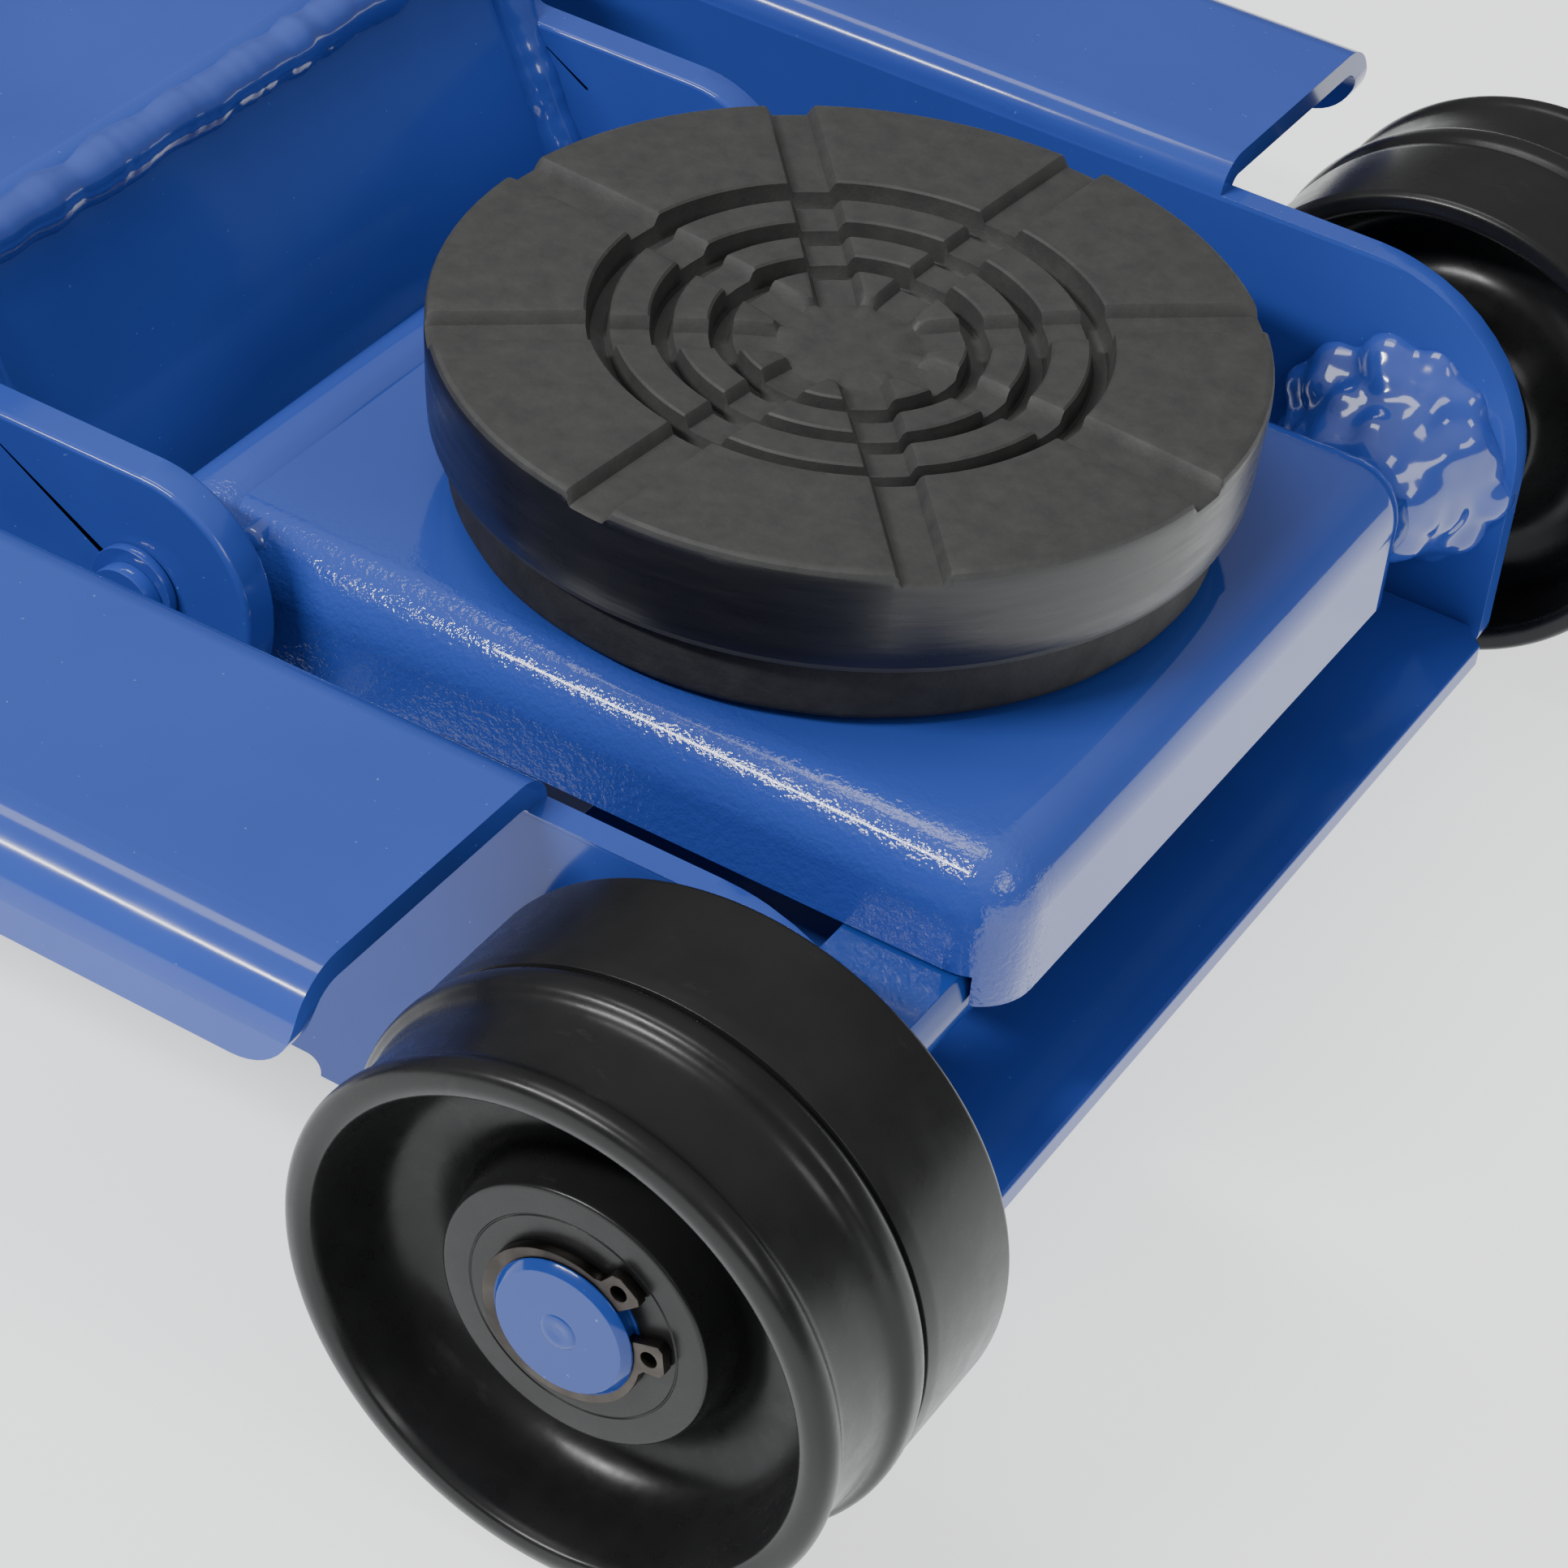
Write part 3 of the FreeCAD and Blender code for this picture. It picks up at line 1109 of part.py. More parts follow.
def handle_yoke():
    """Socket for the handle on a cross tube, with two levers that hold the pump roller."""
    hub_end = "(bracketInner - faceGap)"
    hub = cylinder_y("yoke_hub", moved("-handlePivotX"), f"-{hub_end}", "handlePivotZ", "yokeTubeRadius",
                     f"2 * {hub_end}")
    socket = handle_axis_cylinder("yoke_socket", "socketRadius", "0", "socketLength")
    levers = []
    for side in (1, -1):
        inner = "pumpRollerHalf + seatGap" if side > 0 else "-pumpRollerHalf - seatGap - pumpLever"
        pin_boss = cylinder_y(f"yoke_lever_eye_{side_name(side)}", moved("pumpRollerX"), inner,
                              "pumpRollerZ",
                              "pumpRollerRadius", "pumpLever")
        bar = primitive("Box", f"yoke_lever_bar_{side_name(side)}", Length="pumpArm", Width="pumpLever",
                        Height="2 * pumpRollerRadius")
        angle = number("pumpHalfSwing")
        bar.Placement.Rotation = FreeCAD.Rotation(ALONG_Y, angle)
        bind(bar, "Placement.Rotation.Angle", "pumpHalfSwing")
        place(bar, moved("pumpRollerX - pumpRollerRadius * sin(pumpHalfSwing)"), inner,
              "pumpRollerZ - pumpRollerRadius * cos(pumpHalfSwing)")
        levers += [pin_boss, bar]
    blank = fuse("yoke_blank", hub, socket, *levers)
    lever_outer = "pumpRollerHalf + seatGap + pumpLever + 1"
    bores = [
        cylinder_y("yoke_bolt_bore", moved("-handlePivotX"), f"-{hub_end}", "handlePivotZ",
                   "handleBoltRadius + runningGap", f"2 * {hub_end}"),
        handle_axis_cylinder("yoke_socket_bore", "handleRadius + runningGap", "socketStart",
                             "socketLength + 1"),
        cylinder_y("yoke_roller_bore", moved("pumpRollerX"), f"-({lever_outer})", "pumpRollerZ",
                   "pumpPinRadius", f"2 * ({lever_outer})"),
        cylinder_y("yoke_roller_room", moved("pumpRollerX"), "-pumpRollerHalf - seatGap", "pumpRollerZ",
                   "pumpRollerRadius + 1", "2 * (pumpRollerHalf + seatGap)"),
    ]
    node(cut("handle_yoke", blank, fuse("yoke_bores", *bores)), "handle_yoke")


def pump_roller():
    """Roller with its pin, which presses the pump plunger."""
    wheel = cylinder_y("pump_roller_wheel", moved("pumpRollerX"), "-pumpRollerHalf", "pumpRollerZ",
                       "pumpRollerRadius", "2 * pumpRollerHalf")
    end = "(pumpRollerHalf + seatGap + pumpLever + 1.5)"
    pin = cylinder_y("pump_roller_pin", moved("pumpRollerX"), f"-{end}", "pumpRollerZ", "pumpPinRadius",
                     f"2 * {end}")
    node(fuse("pump_roller", wheel, pin), "pump_roller")


def handle_lower_tube():
    outer = handle_axis_cylinder("lower_tube_outer", "handleRadius", "socketStart", "lowerTubeLength")
    inner = handle_axis_cylinder("lower_tube_inner", "handleRadius - handleWall", "socketStart",
                                 "lowerTubeLength")
    node(cut("handle_lower_tube", outer, inner), "handle_lower_tube")


def handle_upper_tube():
    start = "lowerTubeLength - tubeLap"
    end = "handleLength - gripCap"
    outer = handle_axis_cylinder("upper_tube_outer", "handleRadius - handleWall", start, end)
    inner = handle_axis_cylinder("upper_tube_inner", "handleRadius - 2 * handleWall", start, end)
    node(cut("handle_upper_tube", outer, inner), "handle_upper_tube")


def handle_clamp_screw():
    """Screw that locks the two halves of the handle together."""
    along = "(lowerTubeLength - clampDrop)"
    wing_start = "handleRadius + clampHeight - 1"
    x = moved(f"-handlePivotX + {along} * sin(handleLean)")
    z = f"handlePivotZ + {along} * cos(handleLean)"
    seat = cylinder_y("clamp_seat", x, "handleRadius - 1", z, "clampHeight", "clampHeight + 1")
    wing = block("clamp_wing", (f"{x} - 2", wing_start, f"{z} - clampWing + 1"),
                 (f"{x} + 2", f"{wing_start} + clampWing", f"{z} + clampWing - 1"))
    solid = fuse("clamp_blank", seat, wing)
    room = handle_axis_cylinder("clamp_room", "handleRadius", "lowerTubeLength - 2 * clampDrop",
                                "lowerTubeLength")
    node(cut("handle_clamp_screw", solid, room), "handle_clamp_screw")


def handle_grip():
    low = "handleLength - gripLength"
    outer = handle_axis_cylinder("grip_outer", "gripRadius", low, "handleLength")
    inner = handle_axis_cylinder("grip_inner", "handleRadius - handleWall", low, "handleLength - gripCap")
    node(cut("handle_grip", outer, inner), "handle_grip")


# ---------------------------------------------------------------------------------------------
# rear casters
# ---------------------------------------------------------------------------------------------
def caster_races():
    rings = []
    for side in (1, -1):
        name = "race_" + side_name(side)
        rim = cylinder_z(name + "_rim", moved("-casterX"), f"{side} * casterY", "crownTop",
                         "casterCrownRadius - 1", "flangeUnder - crownTop")
        bore = cylinder_z(name + "_bore", moved("-casterX"), f"{side} * casterY", "crownTop",
                          "kingpinRadius + runningGap", "flangeUnder - crownTop")
        rings.append(cut(name, rim, bore))
    group("caster_races", *rings)


def caster_kingpins():
    """Bolt through flange, race and fork, with its nut on top of the flange."""
    pins = []
    for side in (1, -1):
        name = "kingpin_" + side_name(side)
        y = f"{side} * casterY"
        bottom = "forkUnder - kingpinHead - faceGap"
        shank = cylinder_z(name + "_shank", moved("-casterX"), y, bottom, "kingpinRadius",
                           f"flangeTop + kingpinNut + 3 - ({bottom})")
        head = cylinder_z(name + "_head", moved("-casterX"), y, bottom, "kingpinRadius + 3",
                          "kingpinHead")
        nut = hexagon(name + "_nut", moved("-casterX"), y, "flangeTop", "kingpinRadius * 1.8",
                      "kingpinNut",
                      FreeCAD.Rotation())
        pins.append(fuse(name, shank, head, nut))
    group("caster_kingpins", *pins)


def caster_fork(side):
    """Pressed fork: round crown under the race and two legs that trail back to the axle."""
    body = new_body("caster_fork_" + side_name(side))
    place(body, moved("-casterX"), f"{side} * casterY", "0")
    pad(body, "XY_Plane", "forkUnder", "forkPlate", circles=[("0", "0", "casterCrownRadius")])
    shoulder = "forkTop - forkPlate / 2"
    rear = "-casterTrail - forkEnd"
    eye = [(rear, "casterWheelRadius + forkEnd"), (rear, "casterWheelRadius - forkEnd"),
           ("forkEnd - casterTrail", "casterWheelRadius - forkEnd")]
    legs = [("11", shoulder), ("-12", shoulder), *eye, ("-2", "casterWheelRadius + 12")]
    for low, high in (("forkInner", "forkOuter"), ("-forkOuter", "-forkInner")):
        pad(body, "XZ_Plane", *across(low, high), legs)
    fillet(body, ALONG_Y, [(x, "0", z) for x, z in eye], "forkEnd - 1")
    pocket(body, "XY_Plane", "forkUnder - 1", "forkPlate + 2",
           circles=[("0", "0", "kingpinRadius + runningGap")])
    start, length = across("-casterWheelWidth", "casterWheelWidth")
    pocket(body, "XZ_Plane", start, length, circles=[("-casterTrail", "casterWheelRadius",
                                                      "casterAxleRadius")])


def caster_wheel(side):
    body = new_body("caster_wheel_" + side_name(side))
    place(body, moved("-casterX - casterTrail"), f"{side} * casterY", "casterWheelRadius")
    half = "casterWheelWidth / 2"
    bore = "casterAxleRadius + runningGap"
    profile = [
        (bore, half), ("casterAxleRadius + 5", half), ("casterAxleRadius + 6", f"{half} - 4"),
        ("casterWheelRadius - 6", f"{half} - 4"), ("casterWheelRadius - 5", f"{half} - 0.5"),
        ("casterWheelRadius - 2", f"{half} - 0.5"), ("casterWheelRadius", f"{half} - 3"),
        ("casterWheelRadius", f"-{half} + 3"), ("casterWheelRadius - 2", f"-{half} + 0.5"),
        ("casterWheelRadius - 5", f"-{half} + 0.5"), ("casterWheelRadius - 6", f"-{half} + 4"),
        ("casterAxleRadius + 6", f"-{half} + 4"), ("casterAxleRadius + 5", f"-{half}"),
        (bore, f"-{half}"),
    ]
    lathe(body, profile)


def caster_axle(side):
    name = "caster_axle_" + side_name(side)
    x = moved("-casterX - casterTrail")
    y = f"{side} * casterY"
    shank = cylinder_y(name + "_shank", x, f"{y} - forkOuter - casterAxleNut - 1", "casterWheelRadius",
                       "casterAxleRadius", "2 * (forkOuter + casterAxleNut)")
    head = hexagon(name + "_head", x, f"{y} + forkOuter", "casterWheelRadius", "casterAxleRadius * 1.75",
                   "casterAxleNut - 1", FreeCAD.Rotation(ALONG_X, -90))
    nut = hexagon(name + "_nut", x, f"{y} - forkOuter", "casterWheelRadius", "casterAxleRadius * 1.75",
                  "casterAxleNut", FreeCAD.Rotation(ALONG_X, 90))
    node(fuse(name, shank, head, nut), name)


# ---------------------------------------------------------------------------------------------
# assembly
# ---------------------------------------------------------------------------------------------
for hand in (1, -1):
    side_frame(hand)
    rear_bracket(hand)
    front_wheel(hand)
    arm_cheek(hand)
    return_spring(hand)
    caster_fork(hand)
    caster_wheel(hand)
    caster_axle(hand)
front_floor_plate()
front_axle()
axle_welds()
wheel_spacers()
front_wheel_circlips()
bracket_bolts()
rear_base_plate()
pump_block()
ram_cylinder()
cylinder_gland()
filler_plug()
release_valve()
pump_barrel()
pump_plunger()
pump_spring()
ram_rod()
ram_crosshead()
arm_pivot_shaft()
arm_shaft_circlips()
arm_top_plate()
arm_front_plate()
arm_pivot_tube()
ram_roller()
ram_roller_pin()
saddle_head()
head_pivot_tube()
head_pivot_pin()
head_pin_circlips()
saddle_post()
saddle_disc()
saddle_pad()
leveling_links()
link_pins("link_front_pins", "linkFrontX", "linkFrontZ", "headHalfWidth - headPlate",
          "linkInner + linkPlate + faceGap", False)
link_pins("link_rear_pins", "linkRearX", "linkRearZ", "linkInner - faceGap", "webInner", True)
handle_pivot_bolt()
handle_yoke()
pump_roller()
handle_lower_tube()
handle_upper_tube()
handle_clamp_screw()
handle_grip()
caster_races()
caster_kingpins()

doc.recompute()
for obj in doc.Objects:
    if {"Invalid", "Error"} & set(obj.State):
        raise RuntimeError(f"{obj.Label} is {obj.State}")
for piece in nodes:
    if piece.Shape.isNull() or not piece.Shape.isValid() or not piece.Shape.Solids:
        raise RuntimeError(f"{piece.Label} has no valid solid")

os.makedirs("parts", exist_ok=True)
for piece in nodes:
    piece.Shape.exportStep(f"parts/{piece.Label}.step")
print(len(nodes), "nodes")
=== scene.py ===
import json
import math
import random

import bmesh
import bpy
from mathutils import Matrix, Vector, noise


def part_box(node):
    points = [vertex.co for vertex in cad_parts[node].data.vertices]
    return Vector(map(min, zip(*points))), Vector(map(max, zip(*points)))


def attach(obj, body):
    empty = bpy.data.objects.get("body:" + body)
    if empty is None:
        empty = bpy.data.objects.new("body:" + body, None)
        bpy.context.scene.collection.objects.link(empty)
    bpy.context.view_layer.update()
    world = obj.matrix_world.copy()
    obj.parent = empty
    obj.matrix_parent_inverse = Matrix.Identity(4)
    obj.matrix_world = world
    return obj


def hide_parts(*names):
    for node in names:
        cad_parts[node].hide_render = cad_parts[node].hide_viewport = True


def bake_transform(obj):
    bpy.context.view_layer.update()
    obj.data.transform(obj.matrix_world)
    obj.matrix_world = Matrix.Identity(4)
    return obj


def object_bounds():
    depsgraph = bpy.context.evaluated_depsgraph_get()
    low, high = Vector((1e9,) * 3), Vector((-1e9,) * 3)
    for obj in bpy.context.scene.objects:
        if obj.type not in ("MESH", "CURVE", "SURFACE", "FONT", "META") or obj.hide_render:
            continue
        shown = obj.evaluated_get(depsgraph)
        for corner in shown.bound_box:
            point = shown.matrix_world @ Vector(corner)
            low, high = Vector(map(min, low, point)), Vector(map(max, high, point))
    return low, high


# Looks of the lowered trolley jack: camera, studio, materials and the pieces that need more shape than
# the CAD solids have. The pieces' own lengths are in millimetres, turned into metres as meshes are made.

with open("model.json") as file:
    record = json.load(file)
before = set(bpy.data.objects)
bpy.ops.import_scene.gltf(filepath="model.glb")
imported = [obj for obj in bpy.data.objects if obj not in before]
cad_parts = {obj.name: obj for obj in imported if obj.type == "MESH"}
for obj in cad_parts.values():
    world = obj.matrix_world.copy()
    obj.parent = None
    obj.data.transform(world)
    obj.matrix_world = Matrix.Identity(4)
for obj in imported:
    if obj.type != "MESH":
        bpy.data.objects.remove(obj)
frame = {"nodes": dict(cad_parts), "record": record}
CAD_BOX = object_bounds()
MM = 0.001
NODES = frame["nodes"]
SLOT_OF = {part["node"]: part["material_slot"] for part in frame["record"]["subparts"]}
PAD_LOW, PAD_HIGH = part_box("saddle_pad")
SADDLE = Vector(((PAD_LOW.x + PAD_HIGH.x) / 2, 0, 0))
FLOOR_Z = CAD_BOX[0].z
SIDES = (("left", 1), ("right", -1))


def linear(red, green, blue):
    """Linear colour of an 8-bit screen colour."""
    def channel(value):
        value /= 255
        return value / 12.92 if value <= 0.04045 else ((value + 0.055) / 1.055) ** 2.4
    return channel(red), channel(green), channel(blue), 1.0


# ---------------------------------------------------------------------------------------------
# camera, floor and light
# ---------------------------------------------------------------------------------------------
# The camera stands at an offset from the saddle's middle on the floor. Azimuth turns from -Y towards +X.
CAMERA_OFFSET = Vector((0.2351, -0.4467, 0.4168))
CAMERA_AZIMUTH = math.radians(28.046)
CAMERA_ELEVATION = math.radians(38.941)
CAMERA_ROLL = math.radians(6.128)
CAMERA_LENS = 99.18
CAMERA_CLIP = 0.01
SENSOR = 36.0
LIGHT_AIM = Vector((0, 0, 0.06))
FLOOR_HALF = 30.0
FLOOR_DROP = 0.0002
FLOOR_COLOUR = linear(190, 191, 191)
FLOOR_GLOW = linear(236, 238, 237)
# where the painted shadow under the jack ends: the floor's glow starts and is full, as distance from the row
# frame's middle
PAINTED_SHADOW_EDGES = (("X", CAD_BOX[1].x - 0.08, CAD_BOX[1].x - 0.02), ("Y", 0.055, 0.105))
# glow under the jack: the painted shadow's strength
PAINTED_SHADOW_UNDER_JACK = 0.01
GLOW_OPEN = 1.5
WORLD_GREYS = ((0.35, 150), (0.95, 255))
WORLD_STRENGTH = 0.66
# name, direction from the saddle, distance, size, power
SOFTBOXES = (
    ("strip", (-0.365, -0.628, 0.687), 1.5, (0.7, 0.09), 19),
    ("key", (-0.35, -0.05, 1.2), 1.8, (1.0, 0.5), 9.5),
    ("front", (1.0, -0.35, 0.75), 1.8, (0.5, 0.8), 6),
)


def make_camera():
    data = bpy.data.cameras.new("camera")
    data.lens = CAMERA_LENS
    data.sensor_width = SENSOR
    data.clip_start = CAMERA_CLIP
    back = Vector((math.sin(CAMERA_AZIMUTH) * math.cos(CAMERA_ELEVATION),
                   -math.cos(CAMERA_AZIMUTH) * math.cos(CAMERA_ELEVATION), math.sin(CAMERA_ELEVATION)))
    level = Vector((math.cos(CAMERA_AZIMUTH), math.sin(CAMERA_AZIMUTH), 0))
    upright = back.cross(level)
    right = level * math.cos(CAMERA_ROLL) + upright * math.sin(CAMERA_ROLL)
    up = upright * math.cos(CAMERA_ROLL) - level * math.sin(CAMERA_ROLL)
    camera = bpy.data.objects.new("camera", data)
    axes = Matrix((right, up, back)).transposed().to_4x4()
    camera.matrix_world = Matrix.Translation(SADDLE + CAMERA_OFFSET) @ axes
    bpy.context.scene.collection.objects.link(camera)
    bpy.context.scene.camera = camera


def area_light(name, direction, distance, size, power):
    """A softbox that shines on the saddle, its first side level and as near to X as it goes."""
    data = bpy.data.lights.new(name, "AREA")
    data.shape = "RECTANGLE"
    data.size, data.size_y = size
    data.energy = power
    light = bpy.data.objects.new(name, data)
    toward = Vector(direction).normalized()
    across = (Vector((1, 0, 0)) - toward * toward.x).normalized()
    axes = Matrix((across, toward.cross(across), toward)).transposed().to_4x4()
    light.matrix_world = Matrix.Translation(SADDLE + LIGHT_AIM + toward * distance) @ axes
    bpy.context.scene.collection.objects.link(light)


def floor_glow_with_painted_shadow(tree):
    """Strength of the floor's glow, with a painted shadow: it stops under the jack, so what shows through its
    gaps is dark.
    """
    place = tree.nodes.new("ShaderNodeTexCoord")
    split = tree.nodes.new("ShaderNodeSeparateXYZ")
    widest = tree.nodes.new("ShaderNodeMath")
    widest.operation = "MAXIMUM"
    tree.links.new(place.outputs["Object"], split.inputs["Vector"])
    for number, (axis, inner, outer) in enumerate(PAINTED_SHADOW_EDGES):
        size = tree.nodes.new("ShaderNodeMath")
        size.operation = "ABSOLUTE"
        fade = tree.nodes.new("ShaderNodeMapRange")
        fade.interpolation_type = "SMOOTHSTEP"
        fade.inputs["From Min"].default_value = inner
        fade.inputs["From Max"].default_value = outer
        tree.links.new(split.outputs[axis], size.inputs[0])
        tree.links.new(size.outputs["Value"], fade.inputs["Value"])
        tree.links.new(fade.outputs["Result"], widest.inputs[number])
    glow = tree.nodes.new("ShaderNodeMapRange")
    glow.inputs["To Min"].default_value = PAINTED_SHADOW_UNDER_JACK
    glow.inputs["To Max"].default_value = GLOW_OPEN
    tree.links.new(widest.outputs["Value"], glow.inputs["Value"])
    return glow.outputs["Result"]


def make_floor():
    """A wide matt floor, a hair below the wheels, glowing but for a painted shadow under the jack."""
    corners = ((-FLOOR_HALF, -FLOOR_HALF), (FLOOR_HALF, -FLOOR_HALF), (FLOOR_HALF, FLOOR_HALF),
               (-FLOOR_HALF, FLOOR_HALF))
    mesh = bpy.data.meshes.new("floor")
    mesh.from_pydata([(x, y, FLOOR_Z - FLOOR_DROP) for x, y in corners], [], [(0, 1, 2, 3)])
    floor = bpy.data.objects.new("floor", mesh)
    bpy.context.scene.collection.objects.link(floor)
    material = bpy.data.materials.new("floor")
    material.use_nodes = True
    tree = material.node_tree
    shader = tree.nodes["Principled BSDF"]
    shader.inputs["Base Color"].default_value = FLOOR_COLOUR
    shader.inputs["Roughness"].default_value = 0.9
    shader.inputs["Emission Color"].default_value = FLOOR_GLOW
    # its glow strength carries the painted shadow under the jack
    tree.links.new(floor_glow_with_painted_shadow(tree), shader.inputs["Emission Strength"])
    floor.data.materials.append(material)


def make_world():
    """A grey room, lighter overhead."""
    world = bpy.data.worlds.new("studio")
    world.use_nodes = True
    tree = world.node_tree
    place = tree.nodes.new("ShaderNodeTexCoord")
    split = tree.nodes.new("ShaderNodeSeparateXYZ")
    ramp = tree.nodes.new("ShaderNodeValToRGB")
    for element, (at, grey) in zip(ramp.color_ramp.elements, WORLD_GREYS):
        element.position = at
        element.color = linear(grey, grey, grey)
    tree.links.new(place.outputs["Generated"], split.inputs["Vector"])
    tree.links.new(split.outputs["Z"], ramp.inputs["Fac"])
    tree.links.new(ramp.outputs["Color"], tree.nodes["Background"].inputs["Color"])
    tree.nodes["Background"].inputs["Strength"].default_value = WORLD_STRENGTH
    bpy.context.scene.world = world


make_camera()
make_floor()
make_world()
for softbox in SOFTBOXES:
    area_light(*softbox)


# ---------------------------------------------------------------------------------------------
# materials
# ---------------------------------------------------------------------------------------------
# sockets of a colour Mix node, which have the same names for other kinds of data
MIX_FIRST = 6
MIX_SECOND = 7
MIX_RESULT = 2


class Finish:
    """One procedural material, wired a step at a time."""

    def __init__(self, name, **sockets):
        self.material = bpy.data.materials.new(name)
        self.material.use_nodes = True
        self.tree = self.material.node_tree
        self.shader = self.tree.nodes["Principled BSDF"]
        self.place = self.tree.nodes.new("ShaderNodeTexCoord").outputs["Object"]
        for socket, value in sockets.items():
            self.shader.inputs[socket.replace("_", " ")].default_value = value

    def noise(self, scale, detail=2.0, roughness=0.5, stretch=None):
        node = self.tree.nodes.new("ShaderNodeTexNoise")
        for name, value in (("Scale", scale), ("Detail", detail), ("Roughness", roughness)):
            node.inputs[name].default_value = value
        source = self.place
        if stretch:
            mapping = self.tree.nodes.new("ShaderNodeMapping")
            mapping.inputs["Scale"].default_value = stretch
            self.tree.links.new(source, mapping.inputs["Vector"])
            source = mapping.outputs["Vector"]
        self.tree.links.new(source, node.inputs["Vector"])
        return node.outputs["Fac"]

    def axis(self, name):
        node = self.tree.nodes.new("ShaderNodeSeparateXYZ")
        self.tree.links.new(self.place, node.inputs["Vector"])
        return node.outputs[name]

    def span(self, source, low, high):
        """Clamped remap of a value: 0 at low, 1 at high."""
        node = self.tree.nodes.new("ShaderNodeMapRange")
        node.inputs["From Min"].default_value = low
        node.inputs["From Max"].default_value = high
        self.tree.links.new(source, node.inputs["Value"])
        return node.outputs["Result"]

    def multiply(self, first, second):
        node = self.tree.nodes.new("ShaderNodeMath")
        node.operation = "MULTIPLY"
        self.tree.links.new(first, node.inputs[0])
        self.tree.links.new(second, node.inputs[1])
        return node.outputs["Value"]

    def ramp(self, source, low, high):
        """low and high are (place, colour or grey)."""
        node = self.tree.nodes.new("ShaderNodeValToRGB")
        for element, (place, value) in zip(node.color_ramp.elements, (low, high)):
            element.position = place
            element.color = value if isinstance(value, tuple) else (value, value, value, 1)
        self.tree.links.new(source, node.inputs["Fac"])
        return node.outputs["Color"]

    def mix(self, factor, output, colour):
        """From a wired colour to a plain one, by a wired factor."""
        node = self.tree.nodes.new("ShaderNodeMix")
        node.data_type = "RGBA"
        self.tree.links.new(factor, node.inputs["Factor"])
        self.tree.links.new(output, node.inputs[MIX_FIRST])
        node.inputs[MIX_SECOND].default_value = colour
        return node.outputs[MIX_RESULT]

    def to(self, socket, output):
        self.tree.links.new(output, self.shader.inputs[socket])

    def bump(self, *layers):
        """layers are (source, height in metres); they add up."""
        previous = None
        for source, height in layers:
            node = self.tree.nodes.new("ShaderNodeBump")
            node.inputs["Distance"].default_value = height
            self.tree.links.new(source, node.inputs["Height"])
            if previous:
                self.tree.links.new(previous, node.inputs["Normal"])
            previous = node.outputs["Normal"]
        self.tree.links.new(previous, self.shader.inputs["Normal"])


PAINT_DARK = linear(51, 73, 156)
PAINT_LIGHT = linear(55, 80, 168)
PAINT_DUST = linear(84, 120, 190)
# Y where the rough grain of the head's near fold starts and is full
FOLD_START = -0.047
FOLD_FULL = -0.054


def blue_paint(name, lumps=0.00004, dark=PAINT_DARK, light=PAINT_LIGHT):
    """Thick glossy enamel over folded plate: slow lumps, orange peel and a few caught specks."""
    m = Finish(name, Coat_Weight=0.15, Coat_Roughness=0.03, Specular_IOR_Level=0.3)
    tone = m.ramp(m.noise(18, 3), (0.3, dark), (0.7, light))
    specks = m.ramp(m.noise(1100, 1.5, 0.6), (0.76, 0.0), (0.79, 1.0))
    m.to("Base Color", m.mix(specks, tone, PAINT_DUST))
    m.to("Roughness", m.ramp(m.noise(60, 3), (0.3, 0.10), (0.75, 0.19)))
    m.bump((m.noise(38, 2), lumps), (m.noise(420, 2), 0.000006))
    return m.material


def head_paint(name):
    """The same enamel over a rough plate: broken grain along the near fold and slow lumps."""
    m = Finish(name, Coat_Weight=0.3, Coat_Roughness=0.02, Specular_IOR_Level=0.4)
    tone = m.ramp(m.noise(18, 3), (0.3, PAINT_DARK), (0.7, PAINT_LIGHT))
    m.to("Base Color", tone)
    m.to("Roughness", m.ramp(m.noise(70, 3), (0.3, 0.06), (0.75, 0.12)))
    near_fold = m.span(m.axis("Y"), FOLD_START, FOLD_FULL)
    rough = m.multiply(near_fold, m.noise(1000, 2, 0.6))
    m.bump((m.noise(30, 2), 0.00018), (m.noise(90, 3, 0.6), 0.00004), (rough, 0.00017),
           (m.noise(500, 2), 0.000004))
    return m.material


def weld_paint(name):
    """Thick paint over weld metal."""
    m = Finish(name, Coat_Weight=0.7, Coat_Roughness=0.03, Roughness=0.14)
    m.to("Base Color", m.ramp(m.noise(60, 3), (0.3, PAINT_DARK), (0.7, PAINT_LIGHT)))
    m.bump((m.noise(160, 2), 0.00010), (m.noise(700, 2), 0.000008))
    return m.material


def soft_black(name, dark, light, rough, grain, level=0.35):
    """Moulded rubber or black paint with a fine grain."""
    m = Finish(name, Specular_IOR_Level=level)
    m.to("Base Color", m.ramp(m.noise(240, 5, 0.7), (0.3, linear(*dark)), (0.7, linear(*light))))
    m.to("Roughness", m.ramp(m.noise(90, 3), (0.3, rough * 0.9), (0.7, rough * 1.15)))
    m.bump((m.noise(1400, 3, 0.7), grain), (m.noise(60, 2), grain))
    return m.material


def pad_side(name):
    """Shinier moulded band with faint lines round it."""
    m = Finish(name, Specular_IOR_Level=0.5)
    streaks = m.noise(50, 4, 0.6, (1, 1, 8))
    m.to("Base Color", m.ramp(streaks, (0.3, linear(24, 24, 26)), (0.75, linear(36, 36, 38))))
    m.to("Roughness", m.ramp(m.noise(60, 4, 0.7, (1, 1, 12)), (0.3, 0.24), (0.8, 0.42)))
    m.bump((m.noise(60, 4, 0.7, (1, 1, 14)), 0.00003))
    return m.material


